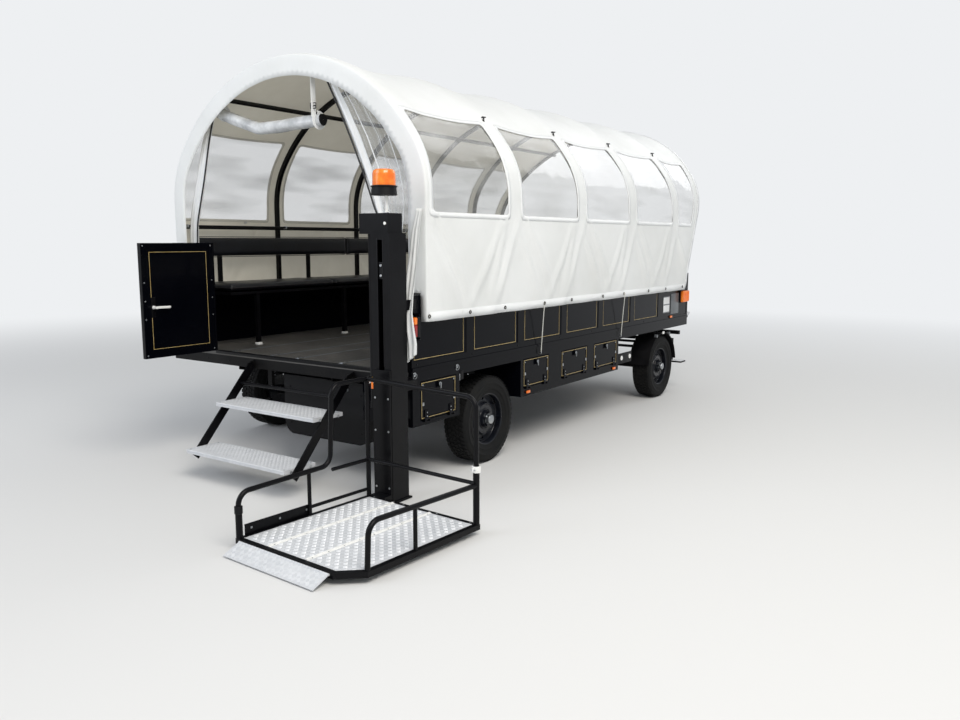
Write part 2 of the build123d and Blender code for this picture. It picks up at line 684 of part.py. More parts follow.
def make_driver_seat():
    """Driver's seat across the front: plywood boards open at the front, and its cushions."""
    t = DRIVER_WALL
    front_y = DRIVER_REAR_Y + t + TOUCH_GAP
    boards = [
        block(-DRIVER_HALF, DRIVER_HALF, front_y, DRIVER_FRONT_Y, DRIVER_BOARD_TOP - t, DRIVER_BOARD_TOP),
        block(-DRIVER_HALF, DRIVER_HALF, DRIVER_REAR_Y, DRIVER_REAR_Y + t, FLOOR_TOP, DRIVER_BACK_TOP),
    ]
    for x in (-DRIVER_HALF, -t / 2, DRIVER_HALF - t):
        boards.append(block(x, x + t, front_y, DRIVER_FRONT_Y - 20, FLOOR_TOP, DRIVER_BOARD_TOP - t - TOUCH_GAP))
    write("driver_seat", *boards)
    seat = block(-DRIVER_HALF + 10, DRIVER_HALF - 10, DRIVER_REAR_Y + t + 62, DRIVER_FRONT_Y + 10,
                 DRIVER_BOARD_TOP + TOUCH_GAP, DRIVER_BOARD_TOP + DRIVER_PAD)
    rest = block(-DRIVER_HALF + 10, DRIVER_HALF - 10, DRIVER_REAR_Y + t + TOUCH_GAP,
                 DRIVER_REAR_Y + t + 60, DRIVER_BOARD_TOP + 80, DRIVER_BACK_TOP - 10)
    write("driver_cushions", seat, rest)


def make_rear_end():
    """Fixed end panel left of the doorway, corner posts and the door's hinge leaves."""
    wall = BODY_HALF - BOARD_THICK
    panel = block(-wall, -END_PANEL_INNER_X, BODY_REAR_Y, BODY_REAR_Y + END_PANEL_THICK, FLOOR_TOP, END_PANEL_TOP)
    post = block(wall - CORNER_POST_WIDTH, wall, BODY_REAR_Y, BODY_REAR_Y + END_PANEL_THICK,
                 FLOOR_TOP, BOARD_TOP)
    for z in HINGE_Z:
        panel = panel + block(-END_PANEL_INNER_X - 30, -END_PANEL_INNER_X, DOOR_PIN_Y, BODY_REAR_Y,
                              z - HINGE_HEIGHT - BEARING_GAP, z - BEARING_GAP)
        leaf = block(-END_PANEL_INNER_X - 1, DOOR_PIN_X, DOOR_PIN_Y - 4, DOOR_PIN_Y + 4,
                     z - HINGE_HEIGHT - BEARING_GAP, z - BEARING_GAP)
        knuckle = rod((DOOR_PIN_X, DOOR_PIN_Y, z - HINGE_HEIGHT - BEARING_GAP),
                      (DOOR_PIN_X, DOOR_PIN_Y, z - BEARING_GAP), DOOR_PIN_R)
        panel = fuse(panel, leaf, knuckle)
    write("rear_panels", panel, post)


def make_door():
    """Rear door, open at a right angle, with a recessed panel, hinge leaves and lever."""
    near_y = DOOR_PIN_Y - 14
    x0 = DOOR_PIN_X + 10
    far_y = near_y - DOOR_WIDTH
    door = block(x0, x0 + DOOR_THICK, far_y, near_y, DOOR_BOTTOM, DOOR_TOP)
    door = door - block(x0 + DOOR_THICK - 3, x0 + DOOR_THICK + 1, far_y + 35, near_y - 35,
                        DOOR_BOTTOM + 35, DOOR_TOP - 35)
    for z in HINGE_Z:
        leaf = block(DOOR_PIN_X - 3, x0 + 12, near_y - 1, near_y + 5, z, z + HINGE_HEIGHT)
        neck = block(DOOR_PIN_X - 3, DOOR_PIN_X + 3, near_y, DOOR_PIN_Y, z, z + HINGE_HEIGHT)
        knuckle = rod((DOOR_PIN_X, DOOR_PIN_Y, z), (DOOR_PIN_X, DOOR_PIN_Y, z + HINGE_HEIGHT), DOOR_PIN_R)
        door = fuse(door, leaf, neck, knuckle)
    write("door", door)
    handle_z = 1130
    face = x0 + DOOR_THICK - 3
    plate = block(face, face + 5, far_y + 60, far_y + 95, handle_z - 70, handle_z + 70)
    stem = rod((face, far_y + 78, handle_z), (face + 40, far_y + 78, handle_z), 8)
    lever = block(face + 28, face + 38, far_y + 71, far_y + 190, handle_z - 8, handle_z + 8)
    write("door_handle", fuse(plate, stem, lever))


def make_steps():
    """Fold-up rear steps: two stringers with pivot eyes, and two plate treads."""
    stringers = []
    low_y, low_z = TREADS[-1][0], TREADS[-1][1] - TREAD_THICK
    dy, dz = low_y - 60 - STEP_PIVOT_Y, low_z - 40 - STEP_PIVOT_Z
    length = math.hypot(dy, dz)
    ny, nz = -dz / length * STRINGER_WIDTH / 2, dy / length * STRINGER_WIDTH / 2
    end_y, end_z = STEP_PIVOT_Y + dy, STEP_PIVOT_Z + dz
    outline = [(STEP_PIVOT_Y + ny, STEP_PIVOT_Z + nz), (end_y + ny, end_z + nz),
               (end_y - ny, end_z - nz), (STEP_PIVOT_Y - ny, STEP_PIVOT_Z - nz)]
    for x in (STEP_MID_X - STEP_WIDTH / 2 - STRINGER_THICK, STEP_MID_X + STEP_WIDTH / 2):
        bar = side_plate(outline, x, x + STRINGER_THICK)
        eye = rod((x, STEP_PIVOT_Y, STEP_PIVOT_Z), (x + STRINGER_THICK, STEP_PIVOT_Y, STEP_PIVOT_Z),
                  STRINGER_WIDTH / 2)
        hole = rod((x - 1, STEP_PIVOT_Y, STEP_PIVOT_Z),
                   (x + STRINGER_THICK + 1, STEP_PIVOT_Y, STEP_PIVOT_Z), STEP_PIN_R + TOUCH_GAP)
        stringers.append(bar + eye - hole)
    brace_y, brace_z = (STEP_PIVOT_Y + TREADS[0][0]) / 2, (STEP_PIVOT_Z + TREADS[0][1]) / 2
    brace = rod((STEP_MID_X - STEP_WIDTH / 2, brace_y, brace_z),
                (STEP_MID_X + STEP_WIDTH / 2, brace_y, brace_z), 12)
    write("step_frame", fuse(*stringers, brace))
    treads = []
    for y, z in TREADS:
        outer = block(STEP_MID_X - STEP_WIDTH / 2, STEP_MID_X + STEP_WIDTH / 2,
                      y - TREAD_DEPTH / 2, y + TREAD_DEPTH / 2, z - TREAD_THICK, z)
        inner = block(STEP_MID_X - STEP_WIDTH / 2 + TREAD_SHEET, STEP_MID_X + STEP_WIDTH / 2 - TREAD_SHEET,
                      y - TREAD_DEPTH / 2 + TREAD_SHEET, y + TREAD_DEPTH / 2 - TREAD_SHEET,
                      z - TREAD_THICK - 1, z - TREAD_SHEET)
        treads.append(outer - inner)
    write("step_treads", *treads)


def on_deck(shape):
    """Place a shape made in the deck's own axes: x right, y forward, from its front left corner."""
    return Pos(DECK_CORNER_X, DECK_CORNER_Y, 0) * Rot(0, 0, DECK_TURN) * shape


def deck_outline(inset):
    """Deck outline with its chamfered rear right corner."""
    x0, x1, y0, y1 = inset, DECK_X - inset, -DECK_Y + inset, -inset
    cut = DECK_CHAMFER - inset * (2 - math.sqrt(2))
    return [(x0, y1), (x1, y1), (x1, y0 + cut), (x1 - cut, y0), (x0, y0)]


def deck_plate(inset, z0, z1):
    face = make_face(Polyline(*deck_outline(inset), close=True))
    return extrude(Plane.XY.offset(z0) * face, z1 - z0)


def make_lift_platform():
    """Lift platform: deck frame, rails, carriage on the mast and three deck plates."""
    frame = deck_plate(0, DECK_BOTTOM, DECK_TOP) - deck_plate(DECK_FRAME, DECK_BOTTOM - 1, DECK_TOP + 1)
    for y in (-DECK_Y * 0.35, -DECK_Y * 0.68):
        frame = frame + block(DECK_FRAME / 2, DECK_X - DECK_FRAME / 2, y - 15, y + 15,
                              DECK_BOTTOM, DECK_TOP - DECK_PLATE)
    r = RAIL_TUBE_R
    x_left, x_right = 15, DECK_X - 15
    y_front, y_rear = -15, -DECK_Y + 15
    top = 775
    left = bent_tube([(x_left, y_rear, DECK_TOP - 5), (x_left, y_rear, 300), (x_left, -315, 315),
                      (x_left, -292, top), (x_left, 12, top)], RAIL_BEND, r)
    front = bent_tube([(x_left, y_front, top), (x_right, y_front, 758), (x_right, y_front, DECK_TOP - 5)],
                      RAIL_BEND, r)
    right = bent_tube([(x_right, y_front, 278), (x_right, -DECK_Y + DECK_CHAMFER + 22, 290),
                       (x_right, -DECK_Y + DECK_CHAMFER + 10, DECK_TOP - 5)], RAIL_BEND, r)
    posts = [
        rod((x_left, y_rear, DECK_TOP - 5), (x_left, y_rear, 232), RAIL_POST_R),
        rod((x_left, y_front, DECK_TOP - 5), (x_left, y_front, top), r),
        rod((x_left, -472, DECK_TOP - 5), (x_left, -472, 302), r * 0.8),
        rod((x_left, -300, 285), (x_left, y_front, 285), r * 0.8),
        rod((x_left, -472, 105), (x_left, y_front, 105), r * 0.7),
        rod((x_right, y_front, DECK_TOP - 5), (x_right, y_front, 375), RAIL_POST_R),
        rod((x_left, y_front, 287), (x_right, y_front, 287), r * 0.8),
        rod((x_right, -500, DECK_TOP - 5), (x_right, -500, 282), r * 0.8),
    ]
    whole = on_deck(fuse(frame, left, front, right, *posts))
    y_face = MAST_Y - MAST_SIZE / 2
    x0, x1 = DECK_CORNER_X - 8, MAST_X + MAST_SIZE / 2
    back = y_face - RUN_GAP - BEARING_GAP
    plate = block(x0, x1, back - CARRIAGE_THICK, back, DECK_BOTTOM, CARRIAGE_TOP)
    foot = block(x0 + 12, x1, DECK_CORNER_Y - 24, back, DECK_BOTTOM, DECK_TOP)
    whole = fuse(whole, plate, foot)
    for z in (DECK_TOP + 60, CARRIAGE_TOP - 110):
        for x in (MAST_X - 50, MAST_X + 25):
            whole = whole + block(x, x + 25, back - 1, y_face - BEARING_GAP, z, z + 80)
    write("lift_frame", whole)
    edges = [DECK_FRAME + TOUCH_GAP] + DECK_JOINTS + [DECK_X - DECK_FRAME - TOUCH_GAP]
    plate = deck_plate(DECK_FRAME + TOUCH_GAP, DECK_TOP - DECK_PLATE, DECK_TOP)
    strips = []
    for a, b in zip(edges, edges[1:]):
        strips.append(on_deck(plate & block(a + 2, b - 2, -DECK_Y, 0, 0, 200)))
    write("lift_deck", *strips)


def make_flap():
    """Ramp flap hinged at the deck's rear edge."""
    width = DECK_X - DECK_CHAMFER - 60
    pin_y, pin_z = -DECK_Y - FLAP_PIN_R - BEARING_GAP, DECK_TOP - FLAP_PIN_R - 4
    plate = block(0, width, -FLAP_LENGTH, 0, -FLAP_THICK / 2, FLAP_THICK / 2)
    barrel = rod((0, 0, 0), (width, 0, 0), FLAP_PIN_R)
    flap = Pos(40, pin_y, pin_z) * Rot(FLAP_DROP, 0, 0) * (plate + barrel)
    write("ramp_flap", on_deck(flap))


def make_mast():
    """Lift mast with its head box, guide post, foot and arms to the body corner."""
    half = MAST_SIZE / 2
    x0, x1 = MAST_X - half, MAST_X + half
    y0, y1 = MAST_Y - half, MAST_Y + half
    column = block(x0, x1, y0, y1, MAST_BOTTOM, MAST_TOP)
    hollow = block(x0 + MAST_WALL, x1 - MAST_WALL, y0 + MAST_WALL, y1 - MAST_WALL,
                   MAST_BOTTOM + MAST_END, MAST_TOP - MAST_END / 2)
    slot = block(MAST_X - SLOT_HALF, MAST_X + SLOT_HALF, y0 - MAST_WALL, y0 + SLOT_DEEP,
                 MAST_BOTTOM + 2 * MAST_END, MAST_TOP - MAST_END)
    head = block(GUIDE_POST_X - HEAD_REACH, x1 - 2 * HEAD_INSET, y0 + HEAD_INSET, y1 - HEAD_INSET,
                 MAST_TOP - HEAD_INSET / 2, MAST_HEAD_TOP)
    post = rod((GUIDE_POST_X, MAST_Y, GUIDE_POST_BOTTOM), (GUIDE_POST_X, MAST_Y, MAST_TOP), GUIDE_POST_R)
    tie = block(GUIDE_POST_X - TIE_HALF, x0 + MAST_WALL / 2, MAST_Y - TIE_HALF, MAST_Y + TIE_HALF,
                GUIDE_POST_BOTTOM, GUIDE_POST_BOTTOM + 2 * TIE_HALF)
    foot = block(x0 - TIE_HALF, x1 + FOOT_THICK, y0 + TIE_HALF, y1 + TIE_HALF,
                 MAST_BOTTOM - FOOT_THICK, MAST_BOTTOM)
    mast = fuse(column - hollow - slot, head, post, tie, foot)
    for z in ARM_Z:
        mast = mast + block(BODY_HALF - BOARD_THICK, BODY_HALF + MAST_END, y1 - MAST_WALL, BODY_REAR_Y,
                            z, z + ARM_HEIGHT)
    write("lift_mast", mast)
    stand = rod((MAST_X - 8, MAST_Y, MAST_HEAD_TOP), (MAST_X - 8, MAST_Y, BEACON_BASE_Z), BEACON_POST_R)
    base = Pos(MAST_X - 25, MAST_Y, BEACON_BASE_Z) * extrude(
        Circle(BEACON_BASE_R), BEACON_DOME_Z - BEACON_BASE_Z, taper=6)
    write("beacon_base", stand + base)
    height = BEACON_TOP - BEACON_DOME_Z
    r = BEACON_DOME_R
    outline = [(0, 0), (r, 0), (r, 0.76 * height), (0.93 * r, 0.92 * height), (0.78 * r, height), (0, height)]
    dome = revolve(Plane.XZ * make_face(Polyline(*outline, close=True)), Axis.Z)
    write("beacon_dome", Pos(MAST_X - 25, MAST_Y, BEACON_DOME_Z) * dome)


def leaf_spring(x, axle_y):
    """Leaf spring close on an axle beam with its clamp block, and the height of its eyes."""
    axle_top = WHEEL_RADIUS + AXLE_BEAM / 2 + TOUCH_GAP
    centre_z = axle_top + LEAF_THICK * len(LEAF_HALF_LENGTHS) + LEAF_RADIUS
    spring = None
    for i, half in enumerate(LEAF_HALF_LENGTHS):
        inner = LEAF_RADIUS + i * LEAF_THICK
        angle = math.degrees(math.asin(half / inner))
        outer_arc = CenterArc((0, 0), inner + LEAF_THICK, -90 - angle, 2 * angle)
        inner_arc = CenterArc((0, 0), inner, -90 - angle, 2 * angle)
        ends = [Line(outer_arc @ t, inner_arc @ t) for t in (0, 1)]
        face = make_face([outer_arc.edge(), inner_arc.edge(), ends[0].edge(), ends[1].edge()])
        leaf = extrude(Plane.YZ.offset(x - LEAF_WIDTH / 2) * (Pos(axle_y, centre_z) * face), LEAF_WIDTH)
        spring = leaf if spring is None else spring + leaf
    drop = LEAF_RADIUS - math.sqrt(LEAF_RADIUS**2 - LEAF_HALF_LENGTHS[0] ** 2)
    eye_z = axle_top + LEAF_THICK * len(LEAF_HALF_LENGTHS) + drop
    clamp = block(x - 40, x + 40, axle_y - 45, axle_y + 45, axle_top, axle_top + 42)
    return spring + clamp, eye_z


def sprung_axle(axle_y, spring_x, frame_z):
    """Axle beam, and two leaf springs with eyes and hangers up to the frame above."""
    reach = WHEEL_MID_X - HUB_INSIDE - BEARING_GAP
    pieces = [block(-reach, reach, axle_y - AXLE_BEAM / 2, axle_y + AXLE_BEAM / 2,
                    WHEEL_RADIUS - AXLE_BEAM / 2, WHEEL_RADIUS + AXLE_BEAM / 2)]
    for side in (-1, 1):
        spring, eye_z = leaf_spring(side * spring_x, axle_y)
        for end in (-1, 1):
            y = axle_y + end * LEAF_HALF_LENGTHS[0]
            x0, x1 = side * spring_x - LEAF_WIDTH / 2, side * spring_x + LEAF_WIDTH / 2
            eye = rod((x0, y, eye_z), (x1, y, eye_z), SPRING_EYE_R)
            hanger = block(x0 + 8, x1 - 8, y - 14, y + 14, eye_z, frame_z)
            spring = fuse(spring, eye, hanger)
        pieces.append(spring)
    return pieces


def make_axles():
    """Rear axle under the body and front axle under the fore-carriage."""
    write("rear_axle", *sprung_axle(REAR_AXLE_Y, REAR_SPRING_X, FLOOR_BOTTOM - STEEL_WALL))
    write("front_axle", *sprung_axle(FRONT_AXLE_Y, FORE_RAIL_X, RING_BOTTOM - FORE_RAIL_HEIGHT))


def make_wheels():
    """Four wheels, each a faceted tyre and a dished steel rim with its drum and hub."""
    half = TYRE_WIDTH / 2
    bead = RIM_WIDTH / 2
    height = WHEEL_RADIUS - RIM_RADIUS
    edge = [(bead, RIM_RADIUS + height * 0.06), (half, RIM_RADIUS + height * 0.44),
            (half - 7, WHEEL_RADIUS - height * 0.17), (half - 26, WHEEL_RADIUS)]
    stations = [(-x, r) for x, r in edge] + [(x, r) for x, r in reversed(edge)]
    flat_down = {"major_radius": False, "rotation": 180 / TYRE_SIDES}
    polygons = [Plane.YZ.offset(x) * RegularPolygon(r, TYRE_SIDES, **flat_down) for x, r in stations]
    bore = Plane.YZ.offset(-bead - 1) * RegularPolygon(RIM_RADIUS, TYRE_SIDES, **flat_down)
    tyre = loft(polygons, ruled=True) - extrude(bore, 2 * bead + 2)
    out = RIM_RADIUS - TOUCH_GAP
    well = out - RIM_WALL
    rim_outline = [
        (-bead, out), (bead, out), (bead, well), (24, well), (36, 124), (52, 112), (52, 64),
        (76, 58), (80, 0), (-HUB_INSIDE, 0), (-HUB_INSIDE, 125), (20, 125), (12, well), (-bead, well),
    ]
    rim = revolve(make_face(Polyline(*rim_outline, close=True)), Axis.X)
    for i in range(8):
        rim = rim - Rot(45 * i, 0, 0) * rod((0, 0, 147), (60, 0, 147), 13)
    for word, y in (("rear", REAR_AXLE_Y), ("front", FRONT_AXLE_Y)):
        for side, side_word in ((1, "right"), (-1, "left")):
            for kind, shape in (("tyre", tyre), ("rim", rim)):
                placed = Pos(WHEEL_MID_X, y, WHEEL_RADIUS) * shape
                write(f"{kind}_{word}_{side_word}", placed if side > 0 else mirrored(placed))


def make_fore_carriage():
    """Steered frame: lower turntable ring, rails, cross-beams, pole jaws and front steps."""
    low = RING_BOTTOM - FORE_RAIL_HEIGHT
    ring = extrude(Circle(RING_OUTER_R) - Circle(RING_INNER_R), RING_HEIGHT)
    frame = Pos(0, FRONT_AXLE_Y, RING_BOTTOM) * ring
    for side in (-1, 1):
        frame = frame + block(side * FORE_RAIL_X - 30, side * FORE_RAIL_X + 30,
                              FORE_RAIL_REAR_Y, FORE_RAIL_FRONT_Y, low, RING_BOTTOM)
    for y in (FORE_RAIL_REAR_Y + 30, FRONT_AXLE_Y - 120, FRONT_AXLE_Y + 120, FORE_RAIL_FRONT_Y - 30):
        frame = frame + block(-FORE_RAIL_X, FORE_RAIL_X, y - 30, y + 30, low, RING_BOTTOM)
    for side in (-1, 1):
        x0 = side * JAW_INSIDE
        jaw = side_plate([(FORE_RAIL_FRONT_Y - 5, low), (POLE_PIVOT_Y + 10, POLE_PIVOT_Z - 26),
                          (POLE_PIVOT_Y + 28, POLE_PIVOT_Z), (POLE_PIVOT_Y + 10, POLE_PIVOT_Z + 26),
                          (FORE_RAIL_FRONT_Y - 5, RING_BOTTOM)], min(x0, x0 + side * JAW_THICK),
                         max(x0, x0 + side * JAW_THICK))
        frame = frame + jaw
        near, mid, far = (side * x for x in FRONT_STEP_X)
        rear, bar_rear, bar_front, front = FRONT_STEP_Y
        bar = block(side * (FORE_RAIL_X + 20), mid, bar_rear, bar_front, low + 10, low + 45)
        drop = block(near, mid, bar_rear, bar_front, FRONT_STEP_Z[0] + 5, low + 45)
        tread = block(near, far, rear, front, *FRONT_STEP_Z)
        frame = fuse(frame, bar, drop, tread)
    reach = JAW_INSIDE + 1
    pin = rod((-reach, POLE_PIVOT_Y, POLE_PIVOT_Z), (reach, POLE_PIVOT_Y, POLE_PIVOT_Z), JAW_PIN_R)
    write("fore_carriage", frame + pin)
    top = RING_BOTTOM + EVENER_HEIGHT
    bars = [block(-EVENER_HALF, EVENER_HALF, EVENER_Y - 28, EVENER_Y + 28, RING_BOTTOM, top)]
    for side in (-1, 1):
        x = side * (EVENER_HALF - 30)
        bars.append(block(x - SINGLETREE_HALF, x + SINGLETREE_HALF, SINGLETREE_Y - 20, SINGLETREE_Y + 20,
                          RING_BOTTOM - 6, top))
        bars.append(block(x - 14, x + 14, EVENER_Y, SINGLETREE_Y, top + TOUCH_GAP, top + LINK_THICK))
    write("evener", *bars)
    guards = []
    for side in (-1, 1):
        ring = CenterArc((0, 0), GUARD_RADIUS, 8, 164)
        outer = CenterArc((0, 0), GUARD_RADIUS + GUARD_THICK, 8, 164)
        ends = [Line(outer @ t, ring @ t) for t in (0, 1)]
        face = make_face([ring.edge(), outer.edge(), ends[0].edge(), ends[1].edge()])
        x0 = GUARD_INNER_X if side > 0 else -GUARD_OUTER_X
        guard = extrude(Plane.YZ.offset(x0) * (Pos(FRONT_AXLE_Y, WHEEL_RADIUS) * face),
                        GUARD_OUTER_X - GUARD_INNER_X)
        for y in (-200, 200):
            z = WHEEL_RADIUS + math.sqrt(GUARD_RADIUS**2 - 220**2) + 2
            bar = block(side * (FORE_RAIL_X + 30), side * (GUARD_INNER_X + 10),
                        FRONT_AXLE_Y + y - 12, FRONT_AXLE_Y + y + 12, low + 12, low + 36)
            plate = block(side * GUARD_INNER_X, side * (GUARD_INNER_X + 10),
                          FRONT_AXLE_Y + y - 20, FRONT_AXLE_Y + y + 20, low + 12, z)
            guard = fuse(guard, bar, plate)
        guards.append(guard)
    write("front_guards", *guards)


def make_pole():
    """Draught pole with its pivot eye and tip fitting, hinged in the fore-carriage's jaws."""
    rise = Rot(POLE_RISE, 0, 0)
    half = JAW_INSIDE - BEARING_GAP
    eye = rod((-half, 0, 0), (half, 0, 0), 28)
    shaft = rod((0, 10, 0), (0, POLE_LENGTH - 100, 0), POLE_RADIUS)
    tip = block(-26, 26, POLE_LENGTH - 130, POLE_LENGTH, -12, 12)
    hole = rod((0, POLE_LENGTH - 35, -20), (0, POLE_LENGTH - 35, 20), POLE_EYE_R)
    bore = rod((-half - 1, 0, 0), (half + 1, 0, 0), JAW_PIN_R + TOUCH_GAP)
    inside = rod((0, 60, 0), (0, POLE_LENGTH - 160, 0), POLE_RADIUS - POLE_WALL)
    drain = rod((0, 80, -POLE_RADIUS - 1), (0, 80, 0), 5)
    pole = fuse(eye, shaft, tip) - inside - drain - hole - bore
    write("pole", Pos(0, POLE_PIVOT_Y, POLE_PIVOT_Z) * rise * pole)


def make_lamps():
    """Tail lamps, front lamps and amber side markers."""
    x0, x1, z0, z1 = TAIL_LAMP
    near = BODY_REAR_Y - LAMP_PLATE[-1] - TOUCH_GAP
    lamp = block(x0, x1, near - TAIL_LAMP_DEPTH, near, z0, z1)
    lamp = fillet(lamp.edges().filter_by(Axis.Z).group_by(Axis.Y)[0], 14)
    write("tail_lamps", *both_sides(lamp))
    y0, y1, z0, z1 = FRONT_LAMP
    lamp = block(BODY_HALF - PANEL_RECESS, BODY_HALF + FRONT_LAMP_DEPTH, y0, y1, z0, z1)
    lamp = fillet(lamp.edges().filter_by(Axis.Z).group_by(Axis.X)[-1], 12)
    write("front_lamps", *both_sides(lamp))
    markers = []
    depth, length, height = MARKER_SIZE
    for y, z in MARKERS:
        markers.append(block(BODY_HALF, BODY_HALF + depth, y, y + length, z - height / 2, z + height / 2))
    write("side_markers", *markers, *[mirrored(marker) for marker in markers])


make_canopy()
make_window_film()
make_hoops()
make_curtain()
make_chassis()
make_floor()
make_side_boards()
make_front_end()
make_lockers()
make_lids()
make_benches()
make_driver_seat()
make_rear_end()
make_door()
make_steps()
make_lift_platform()
make_flap()
make_mast()
make_axles()
make_wheels()
make_fore_carriage()
make_pole()
make_lamps()
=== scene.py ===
"""Dresses a horse-drawn covered wagon with a wheelchair lift.

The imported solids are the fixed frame, in metres: +X to the wagon's right, +Y towards the pole and
+Z up, with the ground at zero. Each sub-assembly below is a class that builds its visible pieces
on the body that carries them and gives them, and the solids that stay, their finish.
"""
from __future__ import annotations

import logging
import random
from dataclasses import dataclass, field
from enum import Enum
from math import asin, atan2, cos, degrees, dist, exp, pi, radians, sin, tau
from typing import Iterable, Sequence

import bmesh
import bpy
import numpy as np
from bmesh.types import BMFace, BMesh
from bpy.types import ID, Material, Mesh, Node, NodeSocket, NodeTree, Object, World
from mathutils import Matrix, Vector, noise
from mathutils.geometry import delaunay_2d_cdt


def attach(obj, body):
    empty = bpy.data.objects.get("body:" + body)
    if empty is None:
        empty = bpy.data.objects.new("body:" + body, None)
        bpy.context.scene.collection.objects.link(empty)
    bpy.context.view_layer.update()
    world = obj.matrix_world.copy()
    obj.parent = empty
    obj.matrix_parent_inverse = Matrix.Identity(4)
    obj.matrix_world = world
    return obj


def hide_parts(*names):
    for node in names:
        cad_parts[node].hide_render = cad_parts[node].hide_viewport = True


LOG = logging.getLogger("wagon")
MM = 0.001
SEED = 7

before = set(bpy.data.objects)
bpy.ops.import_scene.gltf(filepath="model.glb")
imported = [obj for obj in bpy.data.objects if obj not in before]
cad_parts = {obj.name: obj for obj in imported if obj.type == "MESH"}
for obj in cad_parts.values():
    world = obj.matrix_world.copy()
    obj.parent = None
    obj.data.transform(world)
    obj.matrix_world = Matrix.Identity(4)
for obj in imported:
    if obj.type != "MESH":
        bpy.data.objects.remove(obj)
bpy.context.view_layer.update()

Pair = tuple[float, float]
Point = tuple[float, float, float]
UP = (0.0, 0.0, 1.0)


class Side(Enum):
    """The wagon's two sides."""

    LEFT = -1
    RIGHT = 1

    @property
    def word(self) -> str:
        """The side's word in node names."""
        return self.name.lower()


class Pattern(Enum):
    """What a finish's surface pattern looks like."""

    PLAIN = "plain"
    WOVEN = "woven"
    BRUSHED = "brushed"
    ORANGE_PEEL = "orange peel"
    GRAINED = "grained"
    RIBBED = "ribbed"


# --------------------------------------------------------------------------- finishes


def linear(hex_colour: str) -> tuple[float, float, float, float]:
    """Turn an sRGB hex colour to linear RGBA.

    Args:
        hex_colour: Six hex digits after a hash, such as "#1a2b3c".

    Returns:
        Linear red, green, blue and an alpha of one.
    """
    parts = [int(hex_colour[i:i + 2], 16) / 255 for i in (1, 3, 5)]
    red, green, blue = (c / 12.92 if c <= 0.04045 else ((c + 0.055) / 1.055) ** 2.4 for c in parts)
    return red, green, blue, 1.0


def put(tree: NodeTree, kind: str, links: dict | None = None, **settings: object) -> Node:
    """Add one node with its settings and links.

    Args:
        tree: The node tree that gets the node.
        kind: The node's type name.
        links: Input name or number to an output socket or a plain value.
        settings: Properties of the node itself.

    Returns:
        The new node.
    """
    node = tree.nodes.new(kind)
    for name, value in settings.items():
        setattr(node, name, value)
    for key, value in (links or {}).items():
        socket = node.inputs[key]
        if isinstance(value, NodeSocket):
            tree.links.new(value, socket)
        else:
            socket.default_value = value
    return node


def cleared(owner: Material | World) -> NodeTree:
    """The owner's node tree, switched on and emptied."""
    owner.use_nodes = True
    owner.node_tree.nodes.clear()
    return owner.node_tree


